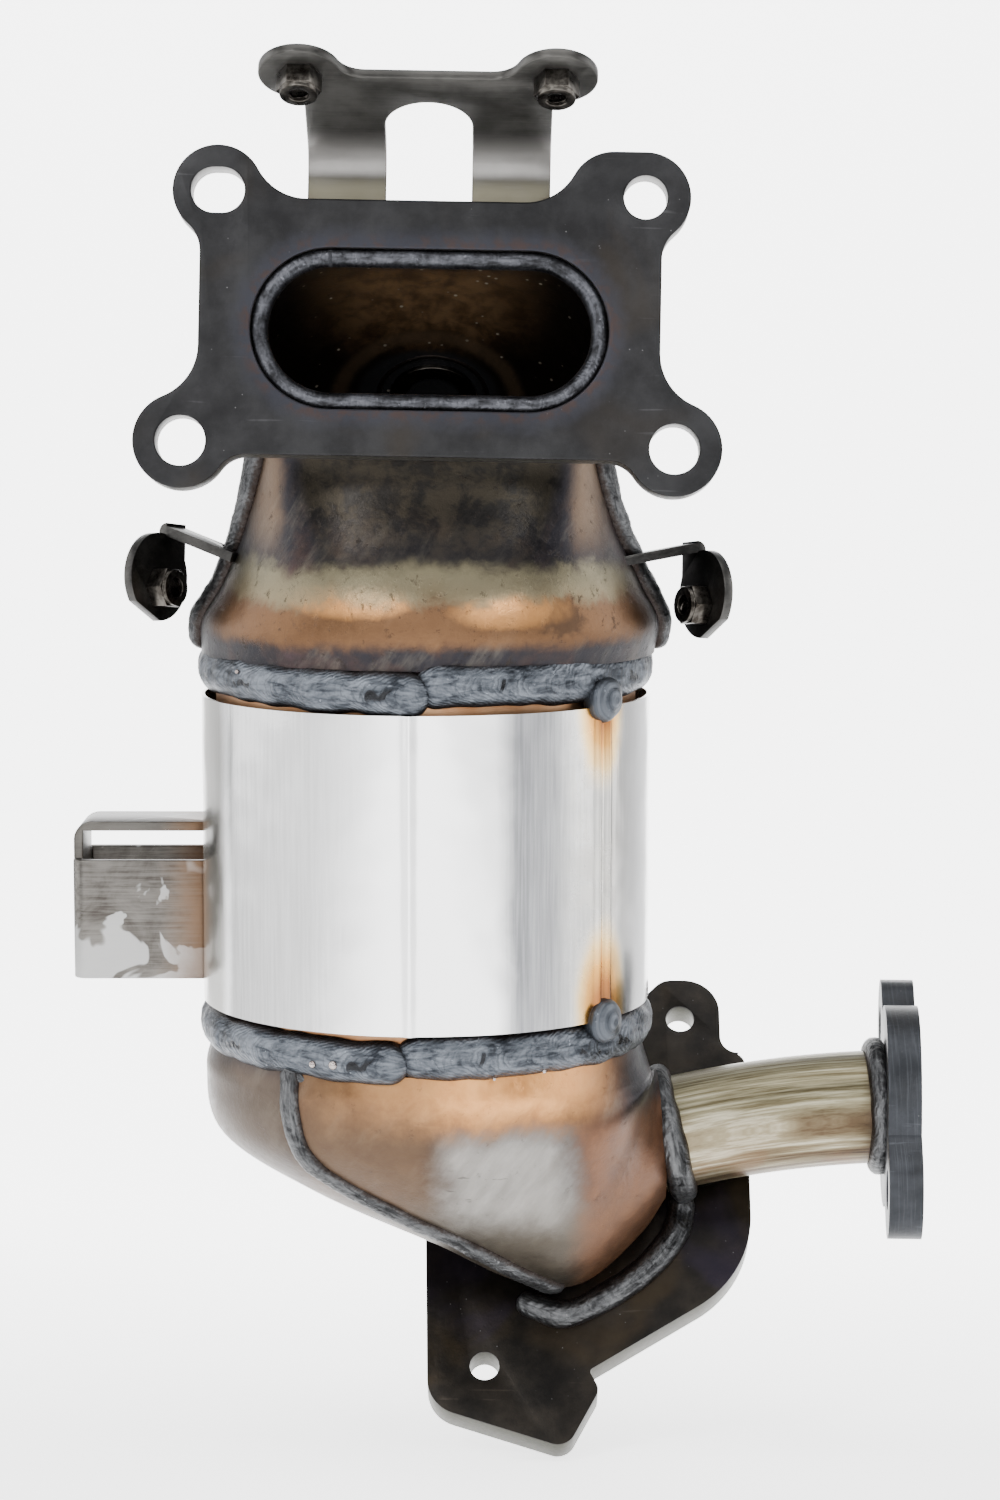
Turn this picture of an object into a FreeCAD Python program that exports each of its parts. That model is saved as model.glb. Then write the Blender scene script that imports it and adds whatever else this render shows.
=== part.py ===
# Close-coupled catalytic converter: a four-stud cylinder-head flange, a pressed inlet
# hood, the canned ceramic monolith in its heat shield, a pressed outlet cone, the
# outlet pipe with its two-bolt flange, and the brackets that hold it and its shields.
#
# Frame: millimetres. The gasket face of the inlet flange lies in the plane Y = 0 and
# faces -Y, the origin is the centre of the port, +Z is up and +X runs along the flange.
# The can hangs below the flange, and its own frame has z along the monolith.
import FreeCAD, Part
import math
import os

Vector = FreeCAD.Vector
Rotation = FreeCAD.Rotation
Placement = FreeCAD.Placement

# ---------------------------------------------------------------- driving dimensions
# Inlet flange
FLANGE_T = 10.0
FLANGE_HALF_W = 58.0
FLANGE_TOP = 32.5
FLANGE_BOTTOM = 32.0
STUD_TOP_X = 53.7
STUD_TOP_Z = 34.3
STUD_LOW_X = 62.0
STUD_LOW_Z = -28.8
EAR_TOP_R = 11.4
EAR_LOW_R = 12.0
EAR_FLAT = 8.0
HOLE_LOW_R = 6.35
HOLE_TOP_R = 5.5
SLOT_R = 5.75
SLOT_LENGTH = 13.5
PORT_HALF_W = 45.0
PORT_HALF_H = 20.25
LIP_HALF_W = 40.8
LIP_HALF_H = 16.0
LIP_SET_BACK = 0.8
LIP_DEPTH = 4.0

# The can, in its own frame: z along the monolith, y away from the cylinder head
CAN_CENTRE = Vector(0.2, 68.8, -129.1)
CAN_TILT = 8.0
CAN_LEAN = -1.0
CAN_R = 56.0
CAN_WALL = 1.5
CAN_HALF = 58.0
BRICK_R = 50.8
BRICK_HALF = 45.0
SHIELD_R = 60.0
SHIELD_T = 0.8
SHIELD_HALF = 41.0
SHEET = 1.8
RING_IN = 43.4
RING_OUT = 52.0
RING_R = 60.3
HOOD_START = FLANGE_T
HOOD_RIM = RING_OUT
CONE_RIM = -RING_OUT

# Outlet pipe and its flange
PIPE_R = 15.4
PIPE_WALL = 1.6
PIPE_Y = 10.0
PIPE_START = Vector(62.4, PIPE_Y, -83.1)
PIPE_START_SLOPE = 14.0
PIPE_END_SLOPE = 1.0
OUT_FACE_X = 134.1
OUT_T = 9.0
OUT_YAW = 3.4
OUT_DISC_R = 27.5
OUT_EAR_R = 13.0
OUT_EAR_Y = 27.0
OUT_EAR_Z = 16.9
OUT_HOLE_R = 5.5
OUT_HALF_H = 29.8

# Stay plate: a point on its front face, its slope, and its thickness
STAY_POINT = Vector(0.0, 27.0, -79.0)
STAY_SLOPE = 38.0
STAY_T = 9.5
STAY_HOLE_R = 4.0

# Shield brackets
STRIP_T = 2.5
NUT_R = 2.6
NUT_FLATS = 9.8
NUT_HEIGHT = 5.8
EAR_SPACING = 63.0
SIDE_MOUTHS = {-1: Vector(-66.2, 43.0, -65.2), 1: Vector(67.0, 43.0, -67.0)}
SIDE_RISE = {-1: 3.0, 1: 3.0}
SIDE_FOLD = {-1: 14.9, 1: 14.7}
SIDE_DROP = {-1: 19.0, 1: 12.0}
SIDE_PAD_R = 11.6
SIDE_SLANT = 25.0
SIDE_FACES = {-1: Vector(0.78, -0.52, -0.34), 1: Vector(-0.84, -0.44, -0.30)}

# the upper bracket, folded over the hood
TOP_LEG_Y = 12.0
TOP_BEND_Z = 45.5
TOP_BEND_R = 5.0
TOP_LEAN = 68.0
TOP_MID = 35.7
TOP_EAR_Y = 36.0
TOP_X = -1.0
TOP_LEG_FOOT = 24.0
LEG_OUTER = 30.8
LEG_INNER = 10.9
ARCH_RISE = 13.8
TOP_EAR_R = 10.2

# the folded harness bracket on the left of the can
BOX_LEFT = -95.4
BOX_FRONT = 0.0
BOX_DEPTH = 30.0
BOX_TOP = 5.0
BOX_PLATE_TOP = -4.9
BOX_BOTTOM = -37.2
BOX_T = 2.5
BOX_BEND = 3.5

# the oxygen sensor boss behind the hood
BOSS_R = 12.0
BOSS_THREAD_R = 8.25
BOSS_LENGTH = 14.0
BOSS_WELD_AT = 0.0

OVAL_STEPS = 28
SKIN_STEPS = 2


# ---------------------------------------------------------------- small helpers
def can_placement():
    lean = Rotation(Vector(0, 1, 0), CAN_LEAN)
    tilt = Rotation(Vector(1, 0, 0), CAN_TILT)
    return Placement(CAN_CENTRE, lean.multiply(tilt))


def from_can(shape):
    """A solid modelled in the can's frame, set where it belongs on the part."""
    moved = shape.copy()
    moved.Placement = can_placement().multiply(moved.Placement)
    return moved


def can_point(x, y, z):
    return can_placement().multVec(Vector(x, y, z))


def can_direction(x, y, z):
    return can_placement().Rotation.multVec(Vector(x, y, z))


def plane_at(origin, across, up):
    """Local x = across, local y = up, local z = across x up."""
    across = Vector(across).normalize()
    normal = across.cross(Vector(up)).normalize()
    upward = normal.cross(across)
    matrix = FreeCAD.Matrix(
        across.x, upward.x, normal.x, origin.x,
        across.y, upward.y, normal.y, origin.y,
        across.z, upward.z, normal.z, origin.z,
        0, 0, 0, 1,
    )
    return Placement(matrix)


def placed(shape, placement):
    moved = shape.copy()
    moved.Placement = placement.multiply(moved.Placement)
    return moved


def tube(outer_r, inner_r, low, high):
    outer = Part.makeCylinder(outer_r, high - low, Vector(0, 0, low))
    inner = Part.makeCylinder(inner_r, high - low + 2, Vector(0, 0, low - 1))
    return outer.cut(inner)


def racetrack(half_w, half_h):
    """A flat face with two straight sides and two round ends, in local x and y."""
    run = half_w - half_h
    edges = [
        Part.LineSegment(Vector(-run, half_h, 0), Vector(run, half_h, 0)).toShape(),
        Part.Arc(Vector(run, half_h, 0), Vector(half_w, 0, 0), Vector(run, -half_h, 0)).toShape(),
        Part.LineSegment(Vector(run, -half_h, 0), Vector(-run, -half_h, 0)).toShape(),
        Part.Arc(Vector(-run, -half_h, 0), Vector(-half_w, 0, 0), Vector(-run, half_h, 0)).toShape(),
    ]
    return Part.Face(Part.Wire(edges))


def facing_back(face, y, depth):
    """A face in local x and y, stood up in the plane of the inlet flange at y and
    pushed back by depth."""
    stand = plane_at(Vector(0, y, 0), Vector(1, 0, 0), Vector(0, 0, 1))
    solid = placed(face, stand).extrude(Vector(0, depth, 0))
    return solid


def rounded_path(points, share=0.42):
    """Straight runs joined by tangent arcs, each as large as its two runs allow."""
    edges = []
    start = points[0]
    for i in range(1, len(points) - 1):
        back = (points[i - 1] - points[i])
        ahead = (points[i + 1] - points[i])
        reach = share * min(back.Length, ahead.Length)
        back.normalize()
        ahead.normalize()
        if abs(back.dot(ahead)) > 0.99999:
            continue
        enter = points[i] + back * reach
        leave = points[i] + ahead * reach
        half_turn = (math.pi - back.getAngle(ahead)) / 2
        radius = reach / math.tan(half_turn)
        middle_way = (back + ahead).normalize()
        centre = points[i] + middle_way * (radius / math.cos(half_turn))
        middle = centre - middle_way * radius
        edges.append(Part.LineSegment(start, enter).toShape())
        edges.append(Part.Arc(enter, middle, leave).toShape())
        start = leave
    edges.append(Part.LineSegment(start, points[-1]).toShape())
    return Part.Wire(edges)


def bead(points, radius, share=0.42):
    """A round weld bead laid along the points."""
    path = rounded_path(points, share)
    first = points[1] - points[0]
    disc = Part.Wire(Part.Circle(points[0], first, radius).toShape())
    return Part.Wire(path).makePipeShell([disc], True, False)


def rounded_outline(points, radii):
    """A closed flat outline in local x and y with each corner rounded."""
    count = len(points)
    corners = []
    for i in range(count):
        here = points[i]
        back = (points[i - 1] - here)
        ahead = (points[(i + 1) % count] - here)
        back.normalize()
        ahead.normalize()
        half = back.getAngle(ahead) / 2
        radius = radii[i]
        reach = radius / math.tan(half)
        middle_way = (back + ahead).normalize()
        middle = here + middle_way * (radius / math.sin(half) - radius)
        corners.append((here + back * reach, middle, here + ahead * reach))
    edges = []
    for i in range(count):
        enter, middle, leave = corners[i]
        following = corners[(i + 1) % count][0]
        if radii[i] > 0:
            edges.append(Part.Arc(enter, middle, leave).toShape())
        if (following - leave).Length > 1e-6:
            edges.append(Part.LineSegment(leave, following).toShape())
    return Part.Face(Part.Wire(Part.sortEdges(edges)[0]))


def hexagon(flats, height):
    corner = flats / math.sqrt(3)
    points = [
        Vector(corner * math.cos(math.radians(60 * i)), corner * math.sin(math.radians(60 * i)), 0)
        for i in range(7)
    ]
    return Part.Face(Part.makePolygon(points)).extrude(Vector(0, 0, height))


def oval_points(origin, across, up, half_across, half_up, power):
    """Points round a closed section between an ellipse (power 2) and a rectangle."""
    at = plane_at(origin, across, up)
    points = []
    for i in range(OVAL_STEPS + 1):
        turn = 2 * math.pi * (i % OVAL_STEPS) / OVAL_STEPS
        c = math.cos(turn)
        s = math.sin(turn)
        x = half_across * math.copysign(abs(s) ** (2 / power), s)
        y = half_up * math.copysign(abs(c) ** (2 / power), c)
        points.append(at.multVec(Vector(x, y, 0)))
    return points


def between(values, place):
    """A smooth value between stations, for numbers or vectors."""
    i = min(int(place), len(values) - 2)
    t = place - i
    p1 = values[i]
    p2 = values[i + 1]
    p0 = values[i - 1] if i > 0 else p1 * 2 - p2
    p3 = values[i + 2] if i + 2 < len(values) else p2 * 2 - p1
    m1 = (p2 - p0) * 0.5
    m2 = (p3 - p1) * 0.5
    h = t * t * (3 - 2 * t)
    return p1 + (p2 - p1) * h + m1 * (t * (1 - t) * (1 - t)) - m2 * (t * t * (1 - t))


def skinned(stations, inset):
    """A smooth solid through stations of centre, across, up, half across, half up and
    power, each one drawn in by inset."""
    columns = [list(column) for column in zip(*stations)]
    last = len(stations) - 1
    rows = []
    for k in range(last * SKIN_STEPS + 1):
        place = k / SKIN_STEPS
        centre, across, up, half_across, half_up, power = (between(c, place) for c in columns)
        rows.append(oval_points(centre, across, up, half_across - inset, half_up - inset, power))
    surface = Part.BSplineSurface()
    surface.interpolate(rows)
    side = surface.toShape()
    low_u, high_u, low_v, high_v = surface.bounds()
    ends = [Part.Face(Part.Wire(surface.uIso(u).toShape())) for u in (low_u, high_u)]
    shell = Part.makeShell([side] + ends)
    shell.sewShape()
    solid = Part.makeSolid(shell)
    if solid.Volume < 0:
        solid.reverse()
    return solid


def single(shape, name):
    """The one solid of a result, checked."""
    solids = sorted(shape.Solids, key=lambda s: s.Volume, reverse=True)
    if not solids:
        raise ValueError(name + " has no solid")
    if not solids[0].isValid():
        raise ValueError(name + " is not valid")
    return solids[0]


# ---------------------------------------------------------------- inlet flange
def arc_between(centre, radius, start, end, clockwise):
    """An arc about a centre from one point to the other, going the stated way."""
    first = math.atan2(start.y - centre.y, start.x - centre.x)
    last = math.atan2(end.y - centre.y, end.x - centre.x)
    sweep = (first - last) % (2 * math.pi) if clockwise else (last - first) % (2 * math.pi)
    half = first - sweep / 2 if clockwise else first + sweep / 2
    middle = Vector(centre.x + radius * math.cos(half), centre.y + radius * math.sin(half), 0)
    return Part.Arc(start, middle, end).toShape()


def ear_corner(side, end, edge, centre, radius, side_fillet, end_fillet, flat):
    """The ear at one corner: its fillets to the flange's side and end, and the points
    where they leave those edges. side and end are -1 or 1."""
    top_centre = Vector(centre.x - side * flat, centre.y, 0)
    f1_x = side * (FLANGE_HALF_W + side_fillet)
    rise = math.sqrt((radius + side_fillet) ** 2 - (f1_x - centre.x) ** 2)
    f1 = Vector(f1_x, centre.y - end * rise, 0)
    f2_y = end * (edge + end_fillet)
    run = math.sqrt((radius + end_fillet) ** 2 - (f2_y - top_centre.y) ** 2)
    f2 = Vector(top_centre.x - side * run, f2_y, 0)
    on_side = Vector(side * FLANGE_HALF_W, f1.y, 0)
    on_end = Vector(f2.x, end * edge, 0)
    touch_side = centre + (f1 - centre) * (radius / (radius + side_fillet))
    touch_end = top_centre + (f2 - top_centre) * (radius / (radius + end_fillet))
    return {
        "f1": f1, "f2": f2, "r1": side_fillet, "r2": end_fillet,
        "on_side": on_side, "on_end": on_end,
        "touch_side": touch_side, "touch_end": touch_end,
        "centre": centre, "top_centre": top_centre, "radius": radius,
        "side": side, "end": end, "flat": flat,
    }


def corner_edges(c, from_side):
    """The edges of one ear, in order from the flange's side to its end or back."""
    convex_clockwise = (c["side"] * c["end"] < 0) == from_side
    tip = Vector(c["centre"].x, c["centre"].y + c["end"] * c["radius"], 0)
    top = Vector(c["top_centre"].x, tip.y, 0)
    side_arc = (c["f1"], c["r1"], c["on_side"], c["touch_side"])
    end_arc = (c["f2"], c["r2"], c["touch_end"], c["on_end"])
    runs = [(side_arc, not convex_clockwise)]
    if c["flat"] > 0:
        runs.append(((c["centre"], c["radius"], c["touch_side"], tip), convex_clockwise))
        runs.append(((c["top_centre"], c["radius"], top, c["touch_end"]), convex_clockwise))
    else:
        runs.append(((c["centre"], c["radius"], c["touch_side"], c["touch_end"]), convex_clockwise))
    runs.append((end_arc, not convex_clockwise))
    edges = []
    for (centre, radius, a, b), clockwise in runs:
        way = clockwise if from_side else not clockwise
        edges.append(arc_between(centre, radius, a, b, way))
    if c["flat"] > 0:
        edges.append(Part.LineSegment(tip, top).toShape())
    return edges


def inlet_flange():
    corners = {
        "tl": ear_corner(-1, 1, FLANGE_TOP, Vector(-STUD_TOP_X, STUD_TOP_Z, 0), EAR_TOP_R, 9, 14, 0),
        "tr": ear_corner(1, 1, FLANGE_TOP, Vector(STUD_TOP_X, STUD_TOP_Z, 0), EAR_TOP_R, 9, 14, EAR_FLAT),
        "bl": ear_corner(-1, -1, FLANGE_BOTTOM, Vector(-STUD_LOW_X, STUD_LOW_Z, 0), EAR_LOW_R, 14, 8, 0),
        "br": ear_corner(1, -1, FLANGE_BOTTOM, Vector(STUD_LOW_X, STUD_LOW_Z, 0), EAR_LOW_R, 14, 8, 0),
    }
    edges = []
    for corner in corners.values():
        edges += corner_edges(corner, True)
    links = (("tl", "tr", "on_end"), ("bl", "br", "on_end"), ("tl", "bl", "on_side"), ("tr", "br", "on_side"))
    for a, b, key in links:
        edges.append(Part.LineSegment(corners[a][key], corners[b][key]).toShape())
    outline = Part.Face(Part.Wire(Part.sortEdges(edges)[0]))
    plate = facing_back(outline, 0, FLANGE_T)
    port = facing_back(racetrack(PORT_HALF_W, PORT_HALF_H), -1, FLANGE_T + 2)
    plate = plate.cut(port)
    slot = racetrack(SLOT_LENGTH / 2, SLOT_R)
    slot.translate(Vector(-STUD_TOP_X, STUD_TOP_Z, 0))
    plate = plate.cut(facing_back(slot, -1, FLANGE_T + 2))
    for x, z, r in (
        (STUD_TOP_X, STUD_TOP_Z, HOLE_TOP_R),
        (-STUD_LOW_X, STUD_LOW_Z, HOLE_LOW_R),
        (STUD_LOW_X, STUD_LOW_Z, HOLE_LOW_R),
    ):
        plate = plate.cut(Part.makeCylinder(r, FLANGE_T + 2, Vector(x, -1, z), Vector(0, 1, 0)))
    return plate


def inlet_port_weld():
    """The weld lip that closes the hood's collar to the flange inside the port."""
    outer = facing_back(racetrack(PORT_HALF_W, PORT_HALF_H), LIP_SET_BACK, LIP_DEPTH)
    inner = facing_back(racetrack(LIP_HALF_W, LIP_HALF_H), LIP_SET_BACK - 1, LIP_DEPTH + 2)
    ring = outer.cut(inner)
    front = [
        e for e in ring.Edges
        if abs(e.CenterOfMass.y - LIP_SET_BACK) < 0.01
        and abs(e.BoundBox.YLength) < 0.01
        and e.BoundBox.XMax < LIP_HALF_W + 0.1
        and e.BoundBox.XMin > -LIP_HALF_W - 0.1
        and max(abs(e.BoundBox.ZMax), abs(e.BoundBox.ZMin)) < LIP_HALF_H + 0.1
    ]
    return ring.makeFillet(2.6, front)


# ---------------------------------------------------------------- inlet hood


def hood_stations(start):
    """From the port to the can: each section's centre, its directions, half sizes and
    power. The path turns from the flange's normal down to the can's axis."""
    across = Vector(1, 0, 0)
    lean = can_direction(1, 0, 0)
    result = [(Vector(0, start, 0), across, Vector(0, 0, 43.8), 46.6, 21.9, 3.4)]
    # y and z of the front and of the rear wall in the can's frame, x, half width, power
    walls = (
        (-43.0, 108.5, -7.0, 153.0, 1.9, 47.2, 2.9),
        (-44.0, 99.5, 27.0, 128.0, 1.6, 47.0, 2.7),
        (-50.5, 84.0, 49.0, 99.0, 1.4, 49.6, 2.45),
        (-58.5, 70.5, 58.5, 74.0, 1.9, 55.6, 2.2),
        (-60.5, 61.0, 60.5, 61.5, 1.4, 60.9, 2.05),
        (-57.9, HOOD_RIM, 57.9, HOOD_RIM, 0.6, 60.4, 2.0),
    )
    for i, (front_y, front_z, rear_y, rear_z, x, half_w, power) in enumerate(walls):
        front = can_point(x, front_y, front_z)
        rear = can_point(x, rear_y, rear_z)
        share = min(1.0, (i + 1) / 3)
        direction = across * (1 - share) + lean * share
        up = rear - front
        result.append(((front + rear) * 0.5, direction, up, half_w, up.Length / 2, power))
    return result


def hood_loft(inset):
    return skinned(hood_stations(HOOD_START + (2.4 if inset else 0)), inset)


def hood_shell():
    collar = facing_back(
        racetrack(PORT_HALF_W, PORT_HALF_H),
        LIP_SET_BACK + LIP_DEPTH,
        HOOD_START + 1.5 - LIP_SET_BACK - LIP_DEPTH,
    )
    bore = facing_back(racetrack(PORT_HALF_W - SHEET, PORT_HALF_H - SHEET), 0, HOOD_START + 4)
    before = Part.makeBox(200, 60, 200, Vector(-100, HOOD_START - 60, -100))
    outer = hood_loft(0).cut(before).fuse(collar)
    below = from_can(Part.makeCylinder(CAN_R, 8, Vector(0, 0, HOOD_RIM - 4)))
    inner = hood_loft(SHEET)
    return outer.cut(inner).cut(bore).cut(below)


def hood_split():
    """Half space in front of the hood's seam plane, which leans with the hood."""
    low = can_point(0, 0, HOOD_RIM)
    high = can_point(0, -40, 136)
    along = (high - low)
    at = plane_at(low, can_direction(1, 0, 0), along)
    block = Part.makeBox(300, 400, 200, Vector(-150, -150, 0))
    return placed(block, at)


def flank_of(solid, at, side, up):
    """The outermost point of the hood's flank in the seam plane, up from the rim."""
    start = at.multVec(Vector(0, up, 0))
    end = at.multVec(Vector(side * 120, up, 0))
    hit = Part.LineSegment(start, end).toShape().common(solid)
    return max((v.Point for v in hit.Vertexes), key=lambda p: (p - start).Length)


def hood_seam(side, hood_outer):
    """The two halves' side weld, down the flank of the hood."""
    low = can_point(0, 0, HOOD_RIM)
    high = can_point(0, -40, 136)
    at = plane_at(low, can_direction(1, 0, 0), high - low)
    outward = can_direction(side, 0, 0)
    points = [flank_of(hood_outer, at, side, up) for up in (2.5, 10.0, 20.0, 33.0, 46.0, 60.0, 74.0)]
    points = [p + outward * 0.5 for p in points]
    return bead(points, 2.9)


# ---------------------------------------------------------------- can and monolith
def can_shell():
    return tube(CAN_R, CAN_R - CAN_WALL, -CAN_HALF, CAN_HALF)


def support_mat():
    return tube(CAN_R - CAN_WALL, BRICK_R, -BRICK_HALF + 2, BRICK_HALF - 2)


def ceramic_monolith():
    return Part.makeCylinder(BRICK_R, 2 * BRICK_HALF, Vector(0, 0, -BRICK_HALF))


def shield_box():
    """The space the harness bracket takes, where the shield is cut away for it."""
    corner = Vector(-75, BOX_FRONT - 2.5, BOX_BOTTOM - 2.5)
    return Part.makeBox(30, BOX_DEPTH + 5, BOX_TOP - BOX_BOTTOM + 5, corner)


def heat_shield():
    skin = tube(SHIELD_R, SHIELD_R - SHIELD_T, -SHIELD_HALF, SHIELD_HALF)
    # two raised seams run the length of the wrap: a lap in front, a pair at the right
    for angle, width in ((-93.0, 3.0), (-41.0, 2.2), (-37.5, 2.2)):
        a = math.radians(angle)
        rib = Part.makeCylinder(1.1, 2 * SHIELD_HALF, Vector(
            (SHIELD_R - 0.5) * math.cos(a), (SHIELD_R - 0.5) * math.sin(a), -SHIELD_HALF))
        core = Part.makeCylinder(SHIELD_R - SHIELD_T, 2 * SHIELD_HALF + 2, Vector(0, 0, -SHIELD_HALF - 1))
        rib = rib.cut(core)
        skin = skin.fuse(rib)
    return skin.cut(shield_box())


def ring_weld(sign):
    """The circumferential weld between the can and a cone."""
    low, high = RING_IN, RING_OUT
    foot = Vector(CAN_R, 0, sign * low)
    crown = Vector(RING_R, 0, sign * (low + 0.62 * (high - low)))
    top = Vector(RING_R - 1.6, 0, sign * high)
    back = Vector(CAN_R, 0, sign * high)
    wire = Part.Wire([
        Part.Arc(foot, crown, top).toShape(),
        Part.LineSegment(top, back).toShape(),
        Part.LineSegment(back, foot).toShape(),
    ])
    return Part.Face(wire).revolve(Vector(0, 0, 0), Vector(0, 0, 1), 360)


def shield_tack(z):
    """A plug weld that ties the shield to the ring weld."""
    a = math.radians(-39.0)
    ball = Part.makeSphere(5.8, Vector((SHIELD_R - 0.4) * math.cos(a), (SHIELD_R - 0.4) * math.sin(a), z))
    return ball


# ---------------------------------------------------------------- outlet cone


def cone_stations():
    """From the can to the outlet: the near and the far bend in the can's x and z, the
    depth's middle and half, and each section's power."""
    bends = (
        (57.7, CONE_RIM, -57.7, CONE_RIM, 0.0, 57.7, 2.0),
        (59.4, -58.0, -59.4, -60.5, 0.0, 59.0, 2.0),
        (60.2, -60.3, -55.5, -76.5, -1.0, 55.0, 2.1),
        (60.4, -61.0, -32.0, -91.5, -3.0, 48.0, 2.2),
        (60.6, -61.6, 1.0, -106.4, -6.0, 37.0, 2.25),
        (61.0, -62.1, 25.0, -118.2, -6.0, 27.0, 2.25),
        (61.6, -62.5, 42.0, -120.5, -1.0, 21.5, 2.15),
        (62.6, -63.6, 57.8, -109.4, 6.5, 20.0, 2.0),
        (64.6, -65.2, 65.2, -99.8, PIPE_Y, 17.4, 2.0),
    )
    result = []
    for near_x, near_z, far_x, far_z, mid_y, half_y, power in bends:
        near = Vector(near_x, mid_y, near_z)
        far = Vector(far_x, mid_y, far_z)
        up = near - far
        result.append(((near + far) * 0.5, Vector(0, 1, 0), up, half_y, up.Length / 2, power))
    return result


def cone_loft(inset):
    return skinned(cone_stations(), inset)


def outlet_cone_shell():
    outer = cone_loft(0)
    below = Part.makeCylinder(CAN_R, 8, Vector(0, 0, CONE_RIM - 4))
    return outer.cut(cone_loft(SHEET)).cut(below)


def cone_front_zone():
    """What belongs to the front pressing: right of a seam that runs down from the can
    and then along the foot of the cone."""
    seam = [
        Vector(-34.5, 0, -45.0), Vector(-34.0, 0, -66.0), Vector(-27.0, 0, -80.0),
        Vector(-8.0, 0, -91.5), Vector(18.0, 0, -107.0), Vector(38.0, 0, -126.5),
    ]
    edges = list(rounded_path(seam).Edges)
    corners = [seam[-1], Vector(46, 0, -140), Vector(110, 0, -140), Vector(110, 0, -45), seam[0]]
    for a, b in zip(corners, corners[1:]):
        edges.append(Part.LineSegment(a, b).toShape())
    face = Part.Face(Part.Wire(Part.sortEdges(edges)[0]))
    face.translate(Vector(0, -90, 0))
    return face.extrude(Vector(0, 90 + PIPE_Y, 0))


def front_of(solid, x, z):
    """Where a line along the can's y first meets a solid."""
    line = Part.LineSegment(Vector(x, -120, z), Vector(x, 60, z)).toShape()
    hit = line.common(solid)
    return min(v.Y for v in hit.Vertexes)


def cone_seam(outer):
    spots = (
        (-34.4, -53.0), (-34.0, -64.0), (-29.5, -77.0), (-14.0, -88.5), (4.0, -98.8), (18.0, -107.2),
        (34.0, -119.0),
    )
    points = [Vector(x, front_of(outer, x, z) - 0.6, z) for x, z in spots]
    return bead(points, 2.4)


# ---------------------------------------------------------------- outlet pipe and flange
def pipe_line():
    """The pipe's centre line is one arc, from the cone to the flange."""
    end_x = OUT_FACE_X - OUT_T + 4.0
    turn = math.radians(PIPE_START_SLOPE - PIPE_END_SLOPE)
    start_angle = math.radians(PIPE_START_SLOPE)
    radius = (end_x - PIPE_START.x) / (math.sin(start_angle) - math.sin(math.radians(PIPE_END_SLOPE)))
    centre = Vector(
        PIPE_START.x + radius * math.sin(start_angle), PIPE_Y,
        PIPE_START.z - radius * math.cos(start_angle),
    )

    def at(share):
        angle = start_angle - turn * share
        return Vector(centre.x - radius * math.sin(angle), PIPE_Y, centre.z + radius * math.cos(angle))

    return Part.Arc(at(0), at(0.5), at(1)).toShape(), at(1)


def pipe_along(radius):
    line, _ = pipe_line()
    slope = math.radians(PIPE_START_SLOPE)
    heading = Vector(math.cos(slope), 0, math.sin(slope))
    ring = Part.Wire(Part.Circle(PIPE_START, heading, radius).toShape())
    return Part.Wire(line).makePipeShell([ring], True, False)


def outlet_pipe():
    return pipe_along(PIPE_R).cut(pipe_along(PIPE_R - PIPE_WALL))


def torus_weld(centre, heading, ring_r, bead_r):
    return Part.makeTorus(ring_r, bead_r, centre, heading)


def outlet_flange():
    _, end = pipe_line()
    middle = Vector(OUT_FACE_X - OUT_T, end.y, end.z)
    yaw = math.radians(OUT_YAW)
    face = plane_at(middle, Vector(math.sin(yaw), math.cos(yaw), 0), Vector(0, 0, 1))
    body = Part.makeCylinder(OUT_DISC_R, OUT_T)
    for sign in (-1, 1):
        ear = Part.makeCylinder(OUT_EAR_R, OUT_T, Vector(sign * OUT_EAR_Y, sign * OUT_EAR_Z, 0))
        body = body.fuse(ear)
    long = math.hypot(OUT_EAR_Y, OUT_EAR_Z)
    web = Part.makeBox(2 * long, 2 * OUT_EAR_R, OUT_T, Vector(-long, -OUT_EAR_R, 0))
    web.rotate(Vector(0, 0, 0), Vector(0, 0, 1), math.degrees(math.atan2(OUT_EAR_Z, OUT_EAR_Y)))
    body = body.fuse(web).removeSplitter()
    limit = Part.makeBox(200, 2 * OUT_HALF_H, OUT_T, Vector(-100, -OUT_HALF_H, 0))
    body = body.common(limit)
    body = body.cut(Part.makeCylinder(PIPE_R - PIPE_WALL, OUT_T + 2, Vector(0, 0, -1)))
    for sign in (-1, 1):
        hole = Part.makeCylinder(OUT_HOLE_R, OUT_T + 2, Vector(sign * OUT_EAR_Y, sign * OUT_EAR_Z, -1))
        body = body.cut(hole)
    return placed(body, face).cut(pipe_along(PIPE_R))


# ---------------------------------------------------------------- stay plate
def stay_frame():
    slope = math.radians(STAY_SLOPE)
    up = Vector(0, math.sin(slope), math.cos(slope))
    return plane_at(STAY_POINT, Vector(1, 0, 0), up)


def stay_outline():
    corners = (
        (-1.2, 8.0, 4.0), (40.0, 30.0, 8.0), (60.0, 34.0, 0.0), (66.0, 40.2, 6.0), (82.0, 40.2, 10.0),
        (82.0, 17.4, 5.0), (88.8, 17.4, 4.0), (88.8, -49.5, 32.0), (43.8, -77.2, 1.2), (46.6, -82.6, 3.5),
        (37.7, -99.0, 5.0), (0.6, -87.0, 10.0),
    )
    points = [Vector(x, y, 0) for x, y, _ in corners]
    return rounded_outline(points, [r for _, _, r in corners])


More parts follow.
